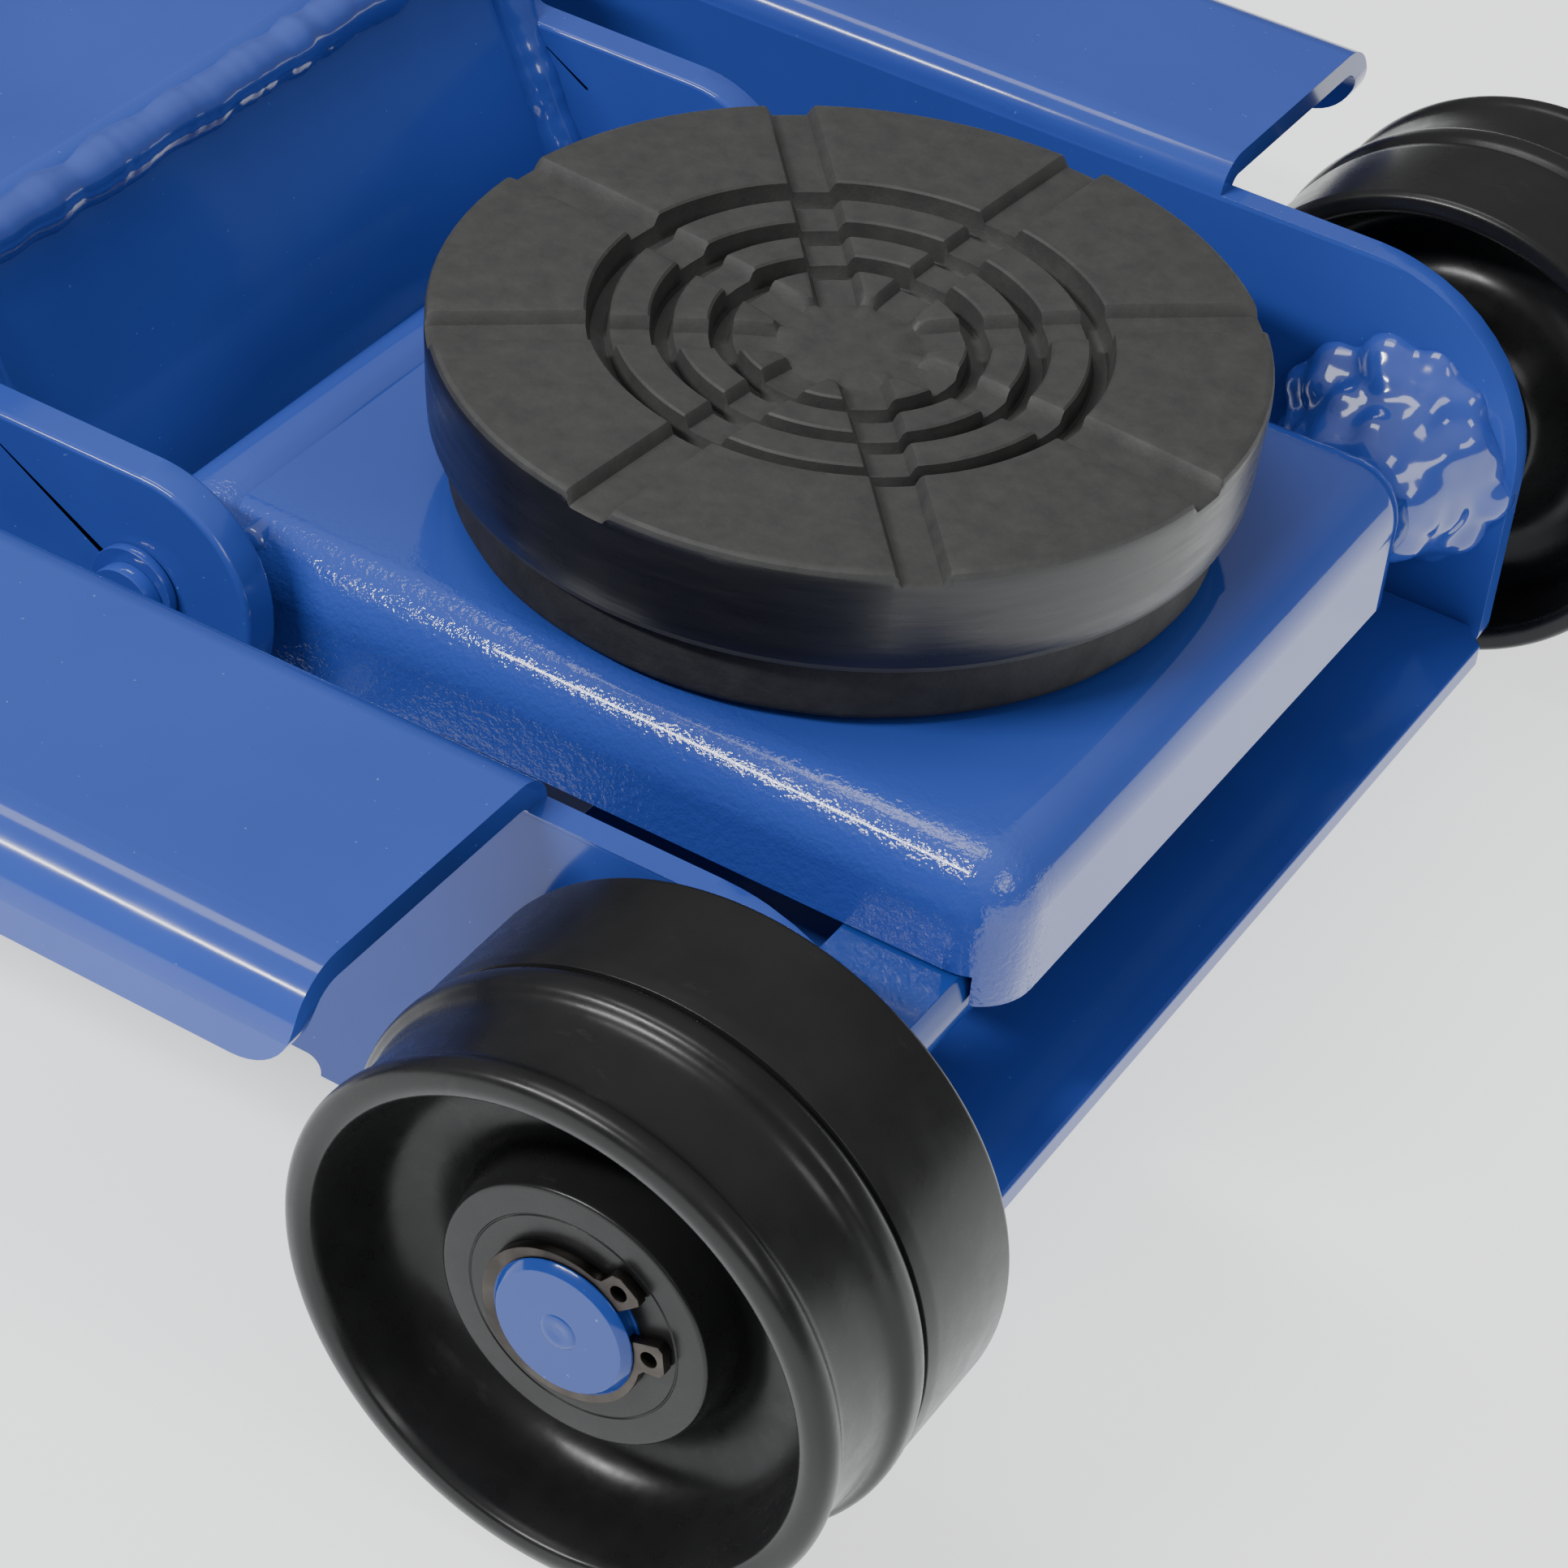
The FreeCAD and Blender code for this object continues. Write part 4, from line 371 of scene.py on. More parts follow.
def nylon(name):
    """Semi-gloss moulded plastic with faint scuffs."""
    m = Finish(name, Specular_IOR_Level=0.3)
    scuffs = m.ramp(m.noise(110, 6, 0.75, (1, 2.2, 1)), (0.62, 0.0), (0.8, 0.6))
    tone = m.ramp(m.noise(70, 4), (0.3, linear(21, 21, 22)), (0.72, linear(30, 30, 31)))
    m.to("Base Color", m.mix(scuffs, tone, linear(52, 52, 52)))
    m.to("Roughness", m.ramp(m.noise(260, 4, 0.65), (0.3, 0.24), (0.78, 0.36)))
    m.bump((m.noise(900, 2), 0.000008), (m.noise(120, 3), 0.00004))
    return m.material


def metal(name, dark, light, rough, grain=0.000012, stretch=None):
    """Bare or plated metal with a fine grain, which stretch draws out along an axis."""
    m = Finish(name, Metallic=1.0)
    m.to("Base Color", m.ramp(m.noise(120, 4, 0.6), (0.3, linear(*dark)), (0.7, linear(*light))))
    m.to("Roughness", m.ramp(m.noise(300, 3), (0.3, rough * 0.8), (0.7, rough * 1.25)))
    m.bump((m.noise(700, 2, 0.5, stretch), grain))
    return m.material


MATERIALS = {
    "blue_paint": blue_paint("blue_paint"),
    "black_nylon": nylon("black_nylon"),
    "black_rubber": soft_black("black_rubber", (42, 42, 42), (56, 56, 55), 0.62, 0.00005),
    "dark_steel": metal("dark_steel", (50, 47, 45), (84, 79, 75), 0.38),
    "zinc_steel": metal("zinc_steel", (150, 152, 154), (196, 198, 200), 0.3, 0.00002),
    "chromed_steel": metal("chromed_steel", (205, 206, 208), (228, 229, 230), 0.1, 0.000003,
                           (14, 1, 1)),
    "cast_black": soft_black("cast_black", (22, 22, 24), (34, 34, 36), 0.42, 0.00012, 0.5),
}
HEAD_PAINT = head_paint("head_paint")
# a darker copy of the blue paint for the front axle: painted shade on its ends
SHADED_AXLE_PAINT = blue_paint("axle_paint_painted_shade", 0.00002, dark=linear(30, 56, 130), light=linear(33, 62, 140))
WELD_PAINT = weld_paint("weld_paint")
PAD_TOP = soft_black("pad_top", (50, 50, 50), (62, 62, 61), 0.6, 0.00005, 0.4)
PAD_SIDE = pad_side("pad_side")
DISC_RUBBER = soft_black("disc_rubber", (40, 40, 41), (54, 54, 55), 0.7, 0.00012, 0.3)


# ---------------------------------------------------------------------------------------------
# meshes
# ---------------------------------------------------------------------------------------------
SAME_POINT = 1e-7


def make(name, points, faces, material, body, smooth=35.0, recalculate=True):
    """A shaded mesh piece of the object, in the row frame, from points in metres."""
    mesh = bpy.data.meshes.new(name)
    mesh.from_pydata([tuple(point) for point in points], [], faces)
    if recalculate:
        bm = bmesh.new()
        bm.from_mesh(mesh)
        bmesh.ops.remove_doubles(bm, verts=bm.verts, dist=SAME_POINT)
        bmesh.ops.recalc_face_normals(bm, faces=bm.faces)
        bm.to_mesh(mesh)
        bm.free()
    mesh.shade_smooth()
    mesh.set_sharp_from_angle(angle=math.radians(smooth))
    mesh.materials.append(material)
    piece = bpy.data.objects.new(name, mesh)
    bpy.context.scene.collection.objects.link(piece)
    if body:
        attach(piece, body)
    return piece


def ring_faces(rings, around):
    """Quads between closed rings of points that follow one another, each with as many points."""
    faces = []
    for row in range(rings - 1):
        for step in range(around):
            following = (step + 1) % around
            faces.append((row * around + step, row * around + following,
                          (row + 1) * around + following, (row + 1) * around + step))
    return faces


def rounded(corners, steps=5):
    """corners are (a, b, cut back): each corner with a cut back becomes a short arc."""
    outline = []
    count = len(corners)
    for index, (a, b, back) in enumerate(corners):
        corner = Vector((a, b))
        if not back or index in (0, count - 1):
            outline.append(corner)
            continue
        before = Vector(corners[index - 1][:2]) - corner
        after = Vector(corners[index + 1][:2]) - corner
        start = corner + before.normalized() * min(back, before.length / 2)
        end = corner + after.normalized() * min(back, after.length / 2)
        for step in range(steps + 1):
            t = step / steps
            outline.append(start * (1 - t) ** 2 + corner * (2 * t * (1 - t)) + end * t ** 2)
    return outline


def lathe(name, outline, origin, axis, material, body, segments=128, smooth=35.0, ripple=None):
    """Turn (radius, along) millimetres about an axis through origin. ripple moves a point by where it is."""
    along = Vector(axis).normalized()
    side = Vector((1, 0, 0)) if abs(along.x) < 0.9 else Vector((0, 1, 0))
    side = (side - along * side.dot(along)).normalized()
    other = along.cross(side)
    points = []
    for radius, height in outline:
        for step in range(segments):
            turn = 2 * math.pi * step / segments
            outward = side * math.cos(turn) + other * math.sin(turn)
            offset = outward * radius + along * height
            if ripple:
                offset = ripple(offset, outward, radius)
            points.append(Vector(origin) + offset * MM)
    return make(name, points, ring_faces(len(outline), segments), material, body, smooth)


def middle(node):
    low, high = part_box(node)
    return (low + high) / 2


# ---------------------------------------------------------------------------------------------
# front wheels
# ---------------------------------------------------------------------------------------------
WHEEL_BORE = 10.06
CASTER_BORE = 5.06


def front_wheel(side, sign):
    """Moulded wheel: lip and rib on the tread, deep dish with a rounded channel, flat hub boss. The
    corners are (radius, distance out from the outer face, cut back)."""
    node = "front_wheel_" + side
    low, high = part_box(node)
    outer = high.y if sign > 0 else low.y
    origin = Vector((middle(node).x, outer, middle(node).z))
    corners = [
        (WHEEL_BORE, -6.1, 0), (14.7, -6.1, 0), (14.9, -6.3, 0.1), (15.1, -6.1, 0), (19.1, -6.1, 0.6),
        (19.9, -10.0, 2.5), (20.8, -15.6, 3.4), (27.5, -16.2, 6.5), (32.6, -12.5, 5),
        (34.7, -1.6, 0.6), (35.2, -0.5, 0.5), (36.6, -0.05, 0.8), (38.6, -0.5, 1.2),
        (39.4, -1.8, 1.1), (39.3, -3.4, 0.9), (38.5, -4.6, 0.9), (38.3, -8.0, 2), (38.5, -14.0, 2),
        (39.0, -16.0, 1.2), (40.65, -17.2, 1.1), (40.65, -20.2, 1.3),
        (39.6, -21.6, 0.3), (39.3, -21.8, 0.05), (40.0, -22.0, 0.1), (40.25, -24.0, 0.5), (40.3, -41.2, 0.5),
        (39.5, -42.0, 0.4), (37.4, -42.0, 0.6), (36.2, -41.0, 1.0), (33.0, -29.5, 4), (23.0, -29.0, 4),
        (17.6, -37.2, 1.2), (16.8, -38.0, 0.5), (WHEEL_BORE, -38.0, 0),
    ]
    outline = [(radius, along * sign) for radius, along in rounded(corners, 6)]
    wheel = lathe(node + "_moulding", outline, origin, (0, 1, 0), MATERIALS["black_nylon"], node,
                  segments=168, smooth=28)
    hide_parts(node)


def caster_wheel(side):
    """Small moulded wheel with a raised hub on both faces."""
    node = "caster_wheel_" + side
    low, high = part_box(node)
    half = (high.y - low.y) / 2 / MM
    radius = (high.z - low.z) / 2 / MM
    face = [
        (CASTER_BORE, half, 0), (9.6, half, 0.6), (10.6, half - 4, 1.4), (radius - 7, half - 4.4, 2.4),
        (radius - 5, half - 0.5, 0.8), (radius - 1.8, half - 0.5, 1.6), (radius, half - 3, 1.8),
    ]
    corners = face + [(r, -along, back) for r, along, back in reversed(face)]
    wheel = lathe(node + "_moulding", rounded(corners, 4), middle(node), (0, 1, 0),
                  MATERIALS["black_nylon"], node, segments=96)
    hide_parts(node)


for side_word, side_sign in SIDES:
    front_wheel(side_word, side_sign)
    caster_wheel(side_word)


# ---------------------------------------------------------------------------------------------
# retaining rings
# ---------------------------------------------------------------------------------------------
RING_THICKNESS = 1.5
RING_EDGE = 0.12
RING_STEPS = 72
EYE_RADIUS = 1.15
EYE_INSET = 2.2
EYE_STEPS = 20


def circlip(name, centre, turn, shaft, material, body):
    """Eared ring in the XZ plane: narrow beside the ears, wide opposite the gap, turned so that the gap
    points along turn in degrees from +X towards +Z. The outlines are (radius, angle)."""
    inner = shaft - 0.75
    lug = shaft + 4.3
    gap = math.atan2(0.17 * shaft + 0.3, inner)
    ear = gap + 5.4 / lug
    outline = []
    for step in range(RING_STEPS + 1):
        angle = ear + 0.10 + (2 * math.pi - 2 * ear - 0.2) * step / RING_STEPS
        width = 1.5 + 1.3 * math.sin(angle / 2) ** 2
        outline.append((inner + width, angle))
    first_ear = [(inner, gap), (lug - 0.5, gap), (lug, gap + 0.06), (lug, ear - 0.09),
                 (lug - 0.6, ear - 0.02), (inner + 2.2, ear + 0.02)]
    last_ear = [(radius, -angle) for radius, angle in reversed(first_ear)]
    inside = [(inner, -gap - (2 * math.pi - 2 * gap) * step / RING_STEPS) for step in range(1, RING_STEPS)]
    outline = outline + last_ear + inside + first_ear
    curve = bpy.data.curves.new(name, "CURVE")
    curve.dimensions = "2D"
    curve.fill_mode = "BOTH"
    curve.extrude = (RING_THICKNESS / 2 - RING_EDGE) * MM
    curve.bevel_depth = RING_EDGE * MM
    curve.bevel_resolution = 1
    curve.offset = -RING_EDGE * MM
    loops = [[(radius * math.cos(angle), radius * math.sin(angle)) for radius, angle in outline]]
    for sign in (1, -1):
        centre_angle = sign * (gap + ear) / 2
        x = (lug - EYE_INSET) * math.cos(centre_angle)
        y = (lug - EYE_INSET) * math.sin(centre_angle)
        turns = [step * 2 * math.pi / EYE_STEPS for step in range(EYE_STEPS)]
        loops.append([(x + EYE_RADIUS * math.cos(a), y + EYE_RADIUS * math.sin(a)) for a in turns])
    for loop in loops:
        spline = curve.splines.new("POLY")
        spline.points.add(len(loop) - 1)
        for point, (x, y) in zip(spline.points, loop):
            point.co = (x * MM, y * MM, 0, 1)
        spline.use_cyclic_u = True
    outlined = bpy.data.objects.new(name + "_outline", curve)
    bpy.context.scene.collection.objects.link(outlined)
    bpy.context.view_layer.update()
    mesh = bpy.data.meshes.new_from_object(outlined.evaluated_get(bpy.context.evaluated_depsgraph_get()))
    bpy.data.objects.remove(outlined)
    stand = Matrix.Rotation(math.radians(90), 4, "X")
    spin = Matrix.Rotation(math.radians(-turn), 4, "Y")
    mesh.transform(Matrix.Translation(centre) @ spin @ stand)
    mesh.name = name
    mesh.materials.clear()
    mesh.materials.append(material)
    mesh.shade_smooth()
    mesh.set_sharp_from_angle(angle=math.radians(40))
    ring = bpy.data.objects.new(name, mesh)
    bpy.context.scene.collection.objects.link(ring)
    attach(ring, body)
    return ring


def circlip_pair(node, axle, shaft, turn, material, body):
    """One ring at each end of a shaft, where the CAD rings sit. Those of the wheels are level with them."""
    low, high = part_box(node)
    half = RING_THICKNESS * MM / 2
    for side, sign in SIDES:
        y = (high.y - half) if sign > 0 else (low.y + half)
        level = "front_wheel_" + side if axle == "front_axle" else axle
        place = Vector((middle(axle).x, y, middle(level).z))
        ring = circlip(f"{node}_{side}_ring", place, turn, shaft, material, body)
        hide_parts(node)


circlip_pair("front_wheel_circlips", "front_axle", 10.0, 31.0, MATERIALS["dark_steel"], "frame")
circlip_pair("head_pin_circlips", "head_pivot_pin", 5.5, -70.0, WELD_PAINT, "arm")
circlip_pair("arm_shaft_circlips", "arm_pivot_shaft", 12.5, 90.0, MATERIALS["dark_steel"], "frame")


def axle_marks():
    """Centre mark left by the lathe in each painted axle end."""
    low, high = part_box("front_axle")
    z = middle("front_wheel_left").z
    for side, sign in SIDES:
        y = high.y if sign > 0 else low.y
        origin = Vector((middle("front_axle").x, y, z))
        outline = [(0.0, -0.05), (0.9, 0.02), (1.5, 0.12), (2.1, 0.12), (2.6, 0.0), (2.7, -0.2)]
        # the marks take the axle's darker paint, its painted shade
        lathe(f"axle_mark_{side}", [(r, a * sign) for r, a in outline], origin, (0, 1, 0), SHADED_AXLE_PAINT,
              "frame", segments=40, smooth=60)


axle_marks()


# ---------------------------------------------------------------------------------------------
# saddle pad and its disc
# ---------------------------------------------------------------------------------------------
GROOVE_TURN = math.radians(-4.7)
GROOVES = 8
GROOVE_HALF = 3.7
GROOVE_DEPTH = 1.9
RING_GROOVES = ((16.3, 19.7), (24.6, 27.9), (33.4, 36.8))
RING_GROOVE_DEPTH = 4.1
LAND_STEPS = 10
BAND_STARTS = 0.9


def pad_height(radius):
    """Height of the lands below the top, by radius as a share of the pad's: a shallow stepped dish."""
    stops = [(0.0, -3.3), (0.10, -3.1), (0.19, -2.5), (0.28, -1.9), (0.33, -1.7), (0.42, -1.5), (0.47, -1.1),
             (0.57, -0.9), (0.62, -0.05), (0.9, 0.0), (1.0, 0.0)]
    for (a, low), (b, high) in zip(stops, stops[1:]):
        if radius <= b:
            return low + (high - low) * (radius - a) / (b - a)
    return 0.0


def saddle_pad():
    """Rubber pad with eight parallel-sided radial grooves and three deeper ring grooves."""
    low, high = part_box("saddle_pad")
    full = (high.x - low.x) / 2 / MM
    thickness = (high.z - low.z) / MM
    half = GROOVE_HALF
    floor = RING_GROOVE_DEPTH
    rows = [10.2, 11.0, 12.5, 14.0, 15.4]
    depth_of = {}
    for start, end in RING_GROOVES:
        for place, depth in ((start - 0.35, 0), (start, 0.3), (start + 0.45, floor - 0.5),
                             (start + 0.8, floor), (end - 0.8, floor),
                             (end - 0.45, floor - 0.5), (end, 0.3), (end + 0.35, 0)):
            rows.append(place)
            depth_of[place] = depth
    rows += [21.5, 23.0, 29.8, 31.5, 40.0, 44.0, 48.0, 52.0, 55.0, full - 1.5]
    rows = sorted(rows)
    columns = [(0.0, 1), (half - 1.6, 1), (half - 1.0, 0.96), (half - 0.45, 0.35), (half, 0.06),
               (half + 0.4, 0)]
    wide = 2 * math.pi / GROOVES

    def ring(radius, land_height, deepest, groove):
        """One closed ring of points at a radius, groove columns first in each sector."""
        found = []
        reach = min(1.0, max(0.0, (radius - 9.6) / 1.6))
        for sector in range(GROOVES):
            base = GROOVE_TURN + sector * wide
            half_columns = []
            for offset, share in columns:
                angle = math.asin(min(0.999, offset / radius))
                limit = wide / 2 * 0.96 * offset / (half + 0.4)
                half_columns.append((min(angle, limit), share))
            angles = [(-a, s) for a, s in reversed(half_columns)] + half_columns[1:]
            edge = half_columns[-1][0]
            for step in range(1, LAND_STEPS):
                angles.append((edge + (wide - 2 * edge) * step / LAND_STEPS, 0))
            for angle, share in angles:
                depth = max(deepest, share * groove * reach + (1 - reach) * groove * 0.9)
                found.append((radius, base + angle, land_height - depth))
        return found

    rings = []
    for radius in rows:
        rings.append(ring(radius, pad_height(radius / full), depth_of.get(radius, 0), GROOVE_DEPTH))
    for inset, height, groove in ((0.9, -0.05, GROOVE_DEPTH), (0.35, -0.35, 1.7), (0.05, -1.0, 1.2),
                                  (0, -2.2, 0.3), (0, -3.4, 0)):
        rings.append(ring(full - inset, height, 0, groove))
    for drop, inset in ((0.35, 0.15), (0.7, 0.45), (0.94, 0.8), (1.0, 1.2)):
        rings.append(ring(full - inset, -thickness * drop, 0, 0))
    centre = Vector((middle("saddle_pad").x, 0, high.z))
    inner = [(0.0, -3.9), (3.0, -3.85), (6.0, -3.8), (8.5, -3.75)]
    ring_size = len(rings[0])
    dish = [[(radius, angle, height) for _, angle, _ in rings[0]] for radius, height in inner[1:]]
    rings = dish + rings
    points = []
    for each in rings:
        for radius, angle, height in each:
            x, y = radius * math.cos(angle), radius * math.sin(angle)
            wobble = noise.noise(Vector((x, y, 3)) * 0.12) * 0.08
            z = min(0.0, height + wobble) if height > -thickness + 0.5 else height
            points.append(centre + Vector((x, y, z)) * MM)
    faces = ring_faces(len(rings), ring_size)
    hub = len(points)
    points.append(centre + Vector((0, 0, inner[0][1])) * MM)
    for step in range(ring_size):
        faces.append((hub, (step + 1) % ring_size, step))
    bottom = len(points)
    points.append(centre + Vector((0, 0, -thickness)) * MM)
    last = (len(rings) - 1) * ring_size
    for step in range(ring_size):
        faces.append((bottom, last + step, last + (step + 1) % ring_size))
    pad = make("saddle_pad_moulding", points, faces, PAD_TOP, "saddle", smooth=24,
               recalculate=False)
    pad.data.materials.append(PAD_SIDE)
    for face in pad.data.polygons:
        if abs(face.normal.z) < 0.35:
            radial = (Vector((face.center.x, face.center.y, 0)) - Vector((centre.x, 0, 0))).length
            if radial > (full - BAND_STARTS) * MM and face.center.z < centre.z - BAND_STARTS * MM:
                face.material_index = 1
    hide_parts("saddle_pad")


def saddle_disc():
    """Matte black seat under the pad, a little smaller, with a soft lower edge."""
    low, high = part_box("saddle_disc")
    radius = (high.x - low.x) / 2 / MM
    height = (high.z - low.z) / MM
    corners = [(0, 0, 0), (radius - 3.2, 0, 0.6), (radius - 0.5, 1.4, 1.2), (radius, height * 0.6, 0.8),
               (radius - 0.1, height, 0.3), (0, height, 0)]

    def uneven(offset, outward, from_axis):
        return offset + outward * (noise.noise(offset * 0.09) * 0.25 - 0.25) * (from_axis > 20)

    origin = Vector((middle("saddle_disc").x, 0, low.z))
    disc = lathe("saddle_disc_moulding", rounded(corners, 5), origin, (0, 0, 1), DISC_RUBBER, "saddle",
                 segments=144, ripple=uneven)
    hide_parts("saddle_disc")


def pad_flash():
    """Torn rubber flash in three places on the seam, each at an angle and a height, reach degrees long."""
    low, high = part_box("saddle_pad")
    radius = (high.x - low.x) / 2 / MM
    centre = Vector((middle("saddle_pad").x, 0, 0))
    steps = 9
    tears = ((-160, low.z + 0.006, 9), (-150, low.z + 0.003, 7), (12, high.z - 0.006, 8))
    for number, (angle, z, reach) in enumerate(tears):
        points, faces = [], []
        for step in range(steps + 1):
            turn = math.radians(angle + (step - steps / 2) * reach / steps)
            outward = Vector((math.cos(turn), math.sin(turn), 0))
            stick = 0.4 * abs(math.sin(step * 2.4)) * math.sin(math.pi * step / steps) - 0.35
            for lift, extra in ((-0.25, -0.6), (0.0, stick), (0.25, -0.6)):
                points.append(centre + outward * (radius - 0.35 + extra) * MM + Vector((0, 0, z + lift * MM)))
        for step in range(steps):
            for lane in range(2):
                a = step * 3 + lane
                faces.append((a, a + 3, a + 4, a + 1))
        make(f"pad_flash_{number}", points, faces, PAD_TOP, "saddle")


saddle_pad()
saddle_disc()
pad_flash()


# ---------------------------------------------------------------------------------------------
# welds
# ---------------------------------------------------------------------------------------------
def heap(name, drops, grain, material, body):
    """Drops of metal, given as centre and radius in metres, melted into one smooth skin."""
    bm = bmesh.new()
    for place, size in drops:
        bmesh.ops.create_icosphere(bm, subdivisions=3, radius=size, matrix=Matrix.Translation(place))
    mesh = bpy.data.meshes.new(name + "_drops")
    bm.to_mesh(mesh)
    bm.free()
    rough = bpy.data.objects.new(name + "_drops", mesh)
    bpy.context.scene.collection.objects.link(rough)
    melt = rough.modifiers.new("melt", "REMESH")
    melt.mode = "VOXEL"
    melt.voxel_size = grain
    ease = rough.modifiers.new("ease", "SMOOTH")
    ease.factor = 0.6
    ease.iterations = 30
    bpy.context.view_layer.update()
    skin = bpy.data.meshes.new_from_object(rough.evaluated_get(bpy.context.evaluated_depsgraph_get()))
    points = [vertex.co.copy() for vertex in skin.vertices]
    faces = [tuple(polygon.vertices) for polygon in skin.polygons]
    bpy.data.objects.remove(rough)
    return make(name, points, faces, material, body, smooth=80)


BLOB_GRAIN = 0.0007
# the heap's core: turns round the axle, and (distance in from the weld's face, drop radius)
CORE_REACH = 6
CORE_TURNS = (0.3, 1.35, 2.4, 3.45, 4.5, 5.55)
CORE_DROPS = ((1, 10.5), (5, 9.0), (9, 7.6), (12, 6.6))
# its rows of smaller drops: count, distance from the axle's middle, distance in, drop radius
BLOB_ROWS = ((13, 15.2, -0.5, 4.6), (10, 12.6, 2.5, 5.0), (9, 10.8, 6.5, 4.6), (8, 9.8, 11.0, 3.6))


def weld_blob(side, sign):
    """Heaped weld metal, thick with paint, round the axle where it meets the web."""
    low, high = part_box("axle_welds")
    face = high.y if sign > 0 else low.y
    wheel = middle("front_wheel_" + side)
    chance = random.Random(7 + sign)

    def spot(reach, angle, lift):
        return Vector((wheel.x + reach * MM * math.cos(angle), face - sign * lift * MM,
                       wheel.z + reach * MM * math.sin(angle)))

    drops = [(spot(CORE_REACH, turn, lift), size * MM) for turn in CORE_TURNS for lift, size in CORE_DROPS]
    for count, reach, height, size in BLOB_ROWS:
        for index in range(count):
            angle = 2 * math.pi * (index + chance.uniform(-0.25, 0.25)) / count
            rear_top = 1.0 + 0.12 * math.cos(angle - math.radians(120))
            out = reach * rear_top + chance.uniform(-1.0, 1.2)
            place = spot(out, angle, height + chance.uniform(-0.8, 0.8))
            drops.append((place, size * chance.uniform(0.85, 1.15) * MM))
    blob = heap(f"axle_weld_{side}_bead", drops, BLOB_GRAIN, WELD_PAINT, "frame")
    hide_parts("axle_welds")


BEAD_STEP = 0.8
BEAD_AROUND = 16
ARM_BEAD = 4.4
HEAD_BEAD = 2.6


def bead(name, path, radius, body, seed, waves=0.12):
    """Smooth wavy weld bead along a path of points in millimetres from the saddle's middle on the floor."""
    points, places = [], []
    for start, end in zip(path, path[1:]):
        a, b = Vector(start), Vector(end)
        count = max(2, int((b - a).length / BEAD_STEP))
        places += [a.lerp(b, index / count) for index in range(count)]
    places.append(Vector(path[-1]))
    for index, place in enumerate(places):
        ahead = places[min(index + 1, len(places) - 1)] - places[max(index - 1, 0)]
        forward = ahead.normalized()
        side = forward.orthogonal().normalized()
        other = forward.cross(side)
        size = radius * (1 + waves * noise.noise(place * 0.16 + Vector((seed, 0, 0)))
                         + waves * 0.25 * noise.noise(place * 0.5 + Vector((seed, 3, 0))))
        if index in (0, len(places) - 1):
            size *= 0.3
        drift = Vector((noise.noise(place * 0.1 + Vector((0, seed, 0))), 0,
                        noise.noise(place * 0.1 + Vector((0, 0, seed + 9))))) * radius * 0.12
        for turn in range(BEAD_AROUND):
            angle = 2 * math.pi * turn / BEAD_AROUND
            offset = (side * math.cos(angle) + other * math.sin(angle)) * size
            points.append(SADDLE + (place + drift + offset) * MM)
    make(name, points, ring_faces(len(places), BEAD_AROUND), WELD_PAINT, body, smooth=80)


def from_saddle(point):
    """A place in the row frame as millimetres from the saddle's middle on the floor."""
    return (Vector(point) - SADDLE) / MM


def arm_welds():
    """Beads where the arm's top, front and side plates meet."""
    top_low, top_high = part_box("arm_top_plate")
    front_low, front_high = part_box("arm_front_plate")
    low, high = from_saddle(top_low), from_saddle(top_high)
    foot, head = from_saddle(front_low), from_saddle(front_high)
    x, z = high.x - 1.4, head.z + 0.4
    bead("weld_arm_front", [(x, low.y + 0.5, z), (x, high.y - 0.5, z)], ARM_BEAD, "arm", 3, 0.16)
    for side, sign in SIDES:
        y = (high.y - 0.5) * sign
        bead(f"weld_arm_front_{side}", [(high.x - 1.0, y, head.z - 2), (head.x - 6.0, y, foot.z + 12)],
             ARM_BEAD, "arm", 5 + sign)


def head_welds():
    """The sleeve's bead along the head's rear edge."""
    tube_low, tube_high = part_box("head_pivot_tube")
    low, high = from_saddle(tube_low), from_saddle(tube_high)
    x, z = high.x + 0.6, high.z - 4.2
    bead("weld_head_sleeve", [(x, low.y + 2, z), (x, high.y - 2, z)], HEAD_BEAD, "head", 11)


for side_word, side_sign in SIDES:
    weld_blob(side_word, side_sign)
arm_welds()
head_welds()


# ---------------------------------------------------------------------------------------------
# springs
# ---------------------------------------------------------------------------------------------
SPRING_TURN_STEPS = 22
SPRING_AROUND = 8
CLOSED_TURNS = 0.9


def spring(name, node, start, end, radius, wire, turns):
    """Coil from a fixed seat to a moving one, with closed ends."""
    a, b = Vector(start), Vector(end)
    axis = (b - a).normalized()
    side = axis.orthogonal().normalized()
    other = axis.cross(side)
    count = turns * SPRING_TURN_STEPS
    points = []
    length = (b - a).length
    lead = wire * MM * 1.05
    for index in range(count + 1):
        t = index / count
        turn = 2 * math.pi * turns * t
        open_share = (t * turns - CLOSED_TURNS) / (turns - 2 * CLOSED_TURNS)
        eased = lead + (length - 2 * lead) * max(0.0, min(1.0, open_share))
        outward = side * math.cos(turn) + other * math.sin(turn)
        centre = a + axis * eased + outward * radius * MM
        for step in range(SPRING_AROUND):
            angle = 2 * math.pi * step / SPRING_AROUND
            points.append(centre + (outward * math.cos(angle) + axis * math.sin(angle)) * wire * MM)
    faces = ring_faces(count + 1, SPRING_AROUND)
    coil = make(name, points, faces, MATERIALS["dark_steel"], None, smooth=80)
    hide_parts(node)
    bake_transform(coil)


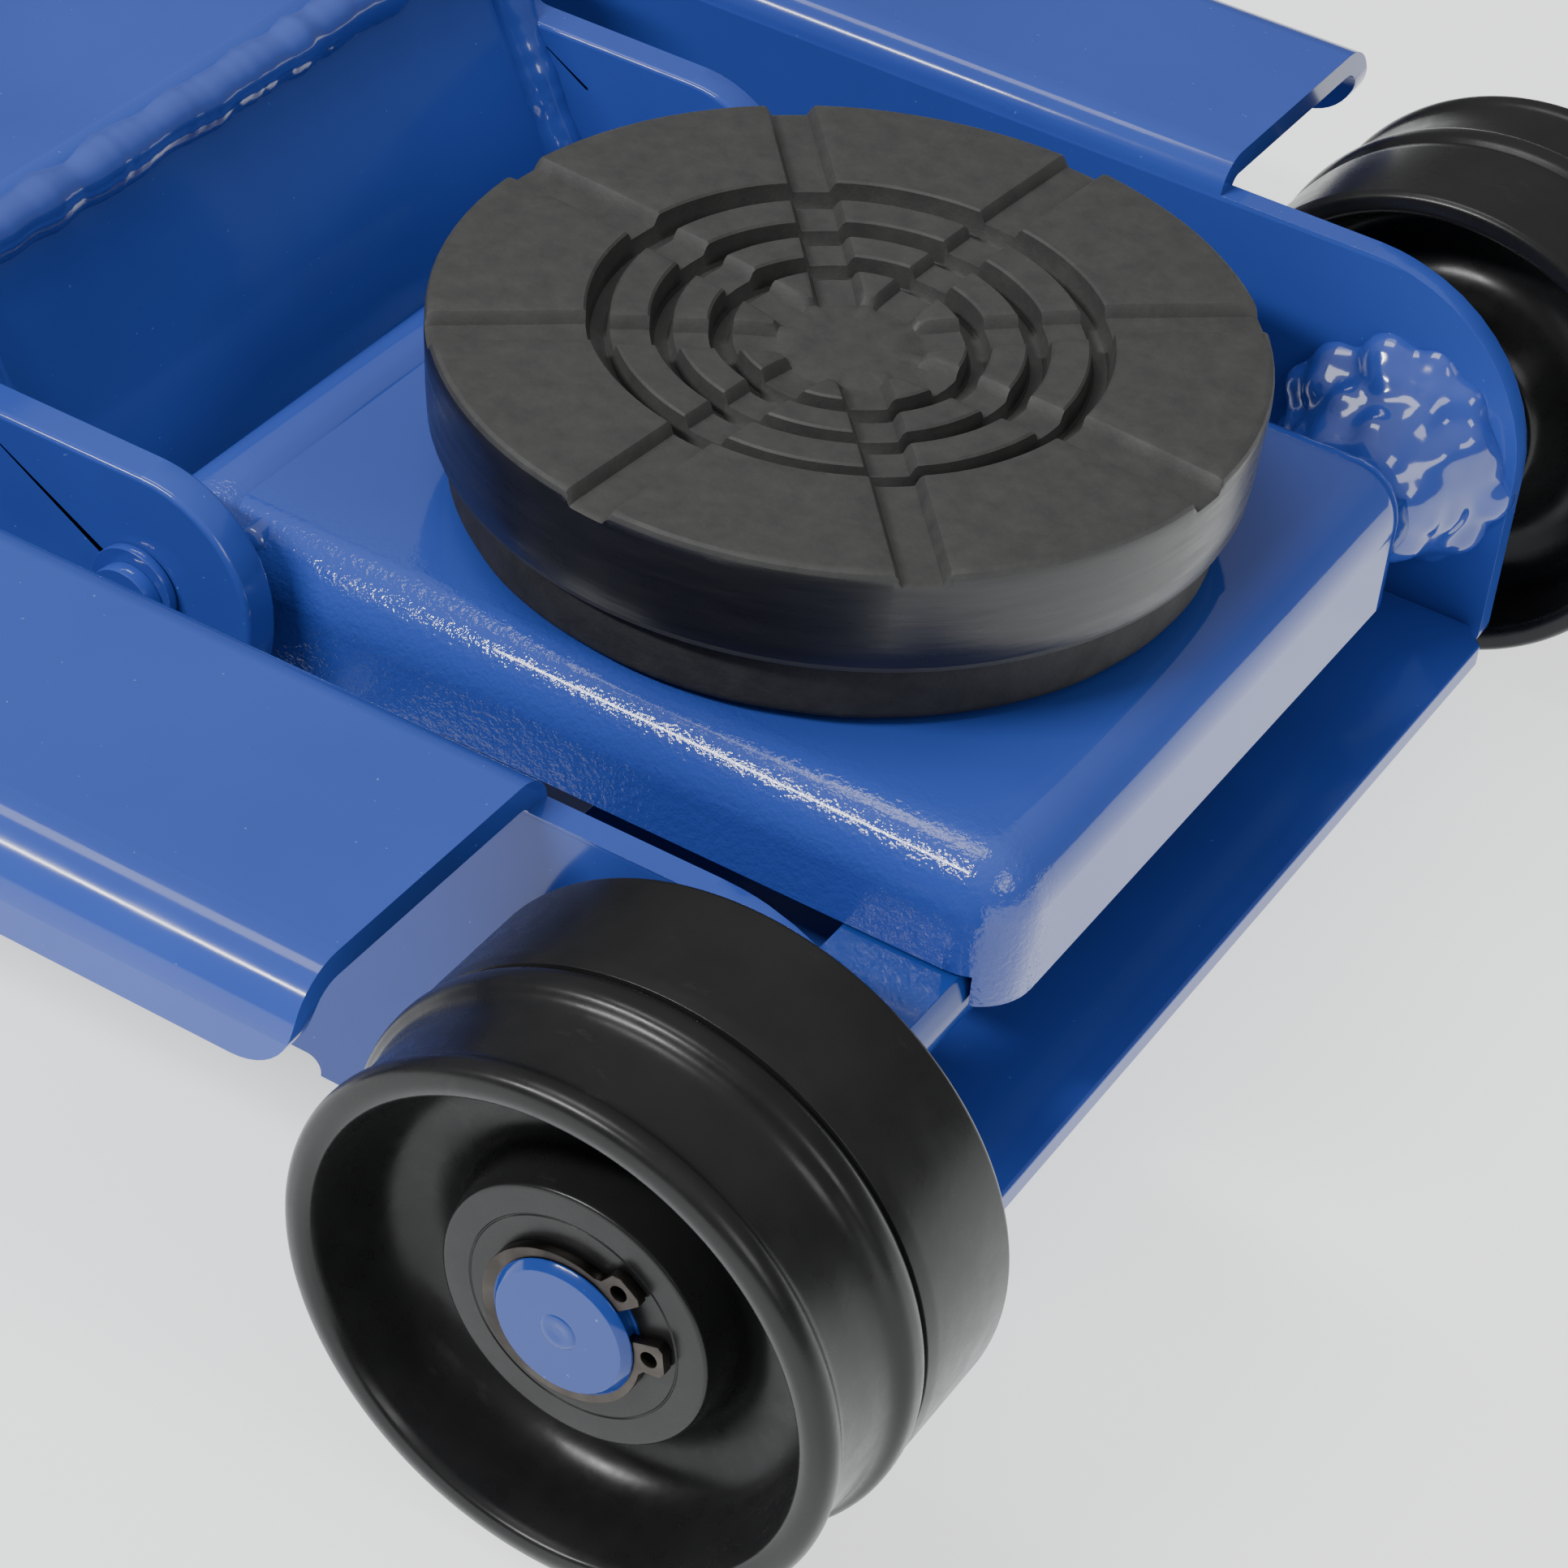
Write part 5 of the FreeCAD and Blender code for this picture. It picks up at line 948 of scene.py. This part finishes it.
for side_word, side_sign in SIDES:
    spring_low, spring_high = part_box("return_spring_" + side_word)
    spring_mid = (spring_low + spring_high) / 2
    spring_start = (spring_low.x, spring_mid.y, spring_mid.z)
    spring_end = (spring_high.x, spring_mid.y, spring_mid.z)
    spring(f"return_spring_{side_word}_coil", "return_spring_" + side_word, spring_start, spring_end,
           5.6, 0.85, 22)
spring_low, spring_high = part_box("pump_spring")
spring_mid = (spring_low + spring_high) / 2
spring("pump_spring_coil", "pump_spring", (spring_mid.x, spring_mid.y, spring_low.z),
       (spring_mid.x, spring_mid.y, spring_high.z), 8.7, 1.1, 6)


# ---------------------------------------------------------------------------------------------
# handle grip
# ---------------------------------------------------------------------------------------------
HANDLE_LEAN = math.radians(4)
GRIP_START = 635.0
GRIP_END = 759.4
GRIP_RADIUS = 18.3
GRIP_BORE = 13.6
GRIP_PITCH = 6.4


def handle_grip():
    """Rubber sleeve with raised rings and a rounded cap, along the leaning handle. Its start and end are
    measured along the handle from the pivot."""
    pivot = middle("handle_pivot_bolt")
    origin = Vector((pivot.x, 0, pivot.z))
    axis = Vector((math.sin(HANDLE_LEAN), 0, math.cos(HANDLE_LEAN)))
    start, end, radius = GRIP_START, GRIP_END, GRIP_RADIUS
    corners = [(GRIP_BORE, start, 0), (radius - 1.0, start, 0.8), (radius, start + 5, 1.2)]
    along = start + 12
    while along < end - 22:
        corners += [(radius - 0.2, along, 0.4), (radius - 1.5, along + 0.9, 0.5),
                    (radius - 1.5, along + 2.7, 0.5), (radius - 0.2, along + 3.6, 0.4)]
        along += GRIP_PITCH
    corners += [(radius, end - 14, 1), (radius, end - 4, 2.5), (radius - 5.5, end, 3), (0.0, end, 0)]
    grip = lathe("handle_grip_sleeve", rounded(corners, 4), origin, axis, MATERIALS["black_rubber"],
                 "handle", segments=72)
    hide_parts("handle_grip")


handle_grip()


# ---------------------------------------------------------------------------------------------
# CAD nodes: finish and softened edges
# ---------------------------------------------------------------------------------------------
BEVEL_MM = {
    "pump_block": 2.2, "saddle_head": 0.7, "front_floor_plate": 0.5, "handle_yoke": 0.8,
    "ram_crosshead": 0.8, "leveling_links": 0.5, "front_axle": 0.25,
}
for side_word, side_sign in SIDES:
    BEVEL_MM["side_frame_" + side_word] = 0.45
    BEVEL_MM["rear_bracket_" + side_word] = 0.5
    BEVEL_MM["arm_cheek_" + side_word] = 0.9
    BEVEL_MM["caster_fork_" + side_word] = 0.5
PLAIN_BEVEL_MM = 0.3
WELD_DISTANCE = 0.00001
# the front axle takes the darker copy of the blue paint, painted shade on its ends
OWN_FINISH = {"saddle_head": HEAD_PAINT, "head_pivot_tube": HEAD_PAINT, "front_axle": SHADED_AXLE_PAINT}

for node_name, cad in NODES.items():
    cad.data.materials.clear()
    cad.data.materials.append(OWN_FINISH.get(node_name, MATERIALS[SLOT_OF[node_name]]))
    weld = cad.modifiers.new("weld", "WELD")
    weld.merge_threshold = WELD_DISTANCE
    bevel = cad.modifiers.new("bevel", "BEVEL")
    bevel.width = BEVEL_MM.get(node_name, PLAIN_BEVEL_MM) * MM
    bevel.segments = 3 if node_name in BEVEL_MM else 2
    bevel.limit_method = "ANGLE"
    bevel.angle_limit = math.radians(35)
    bevel.harden_normals = True
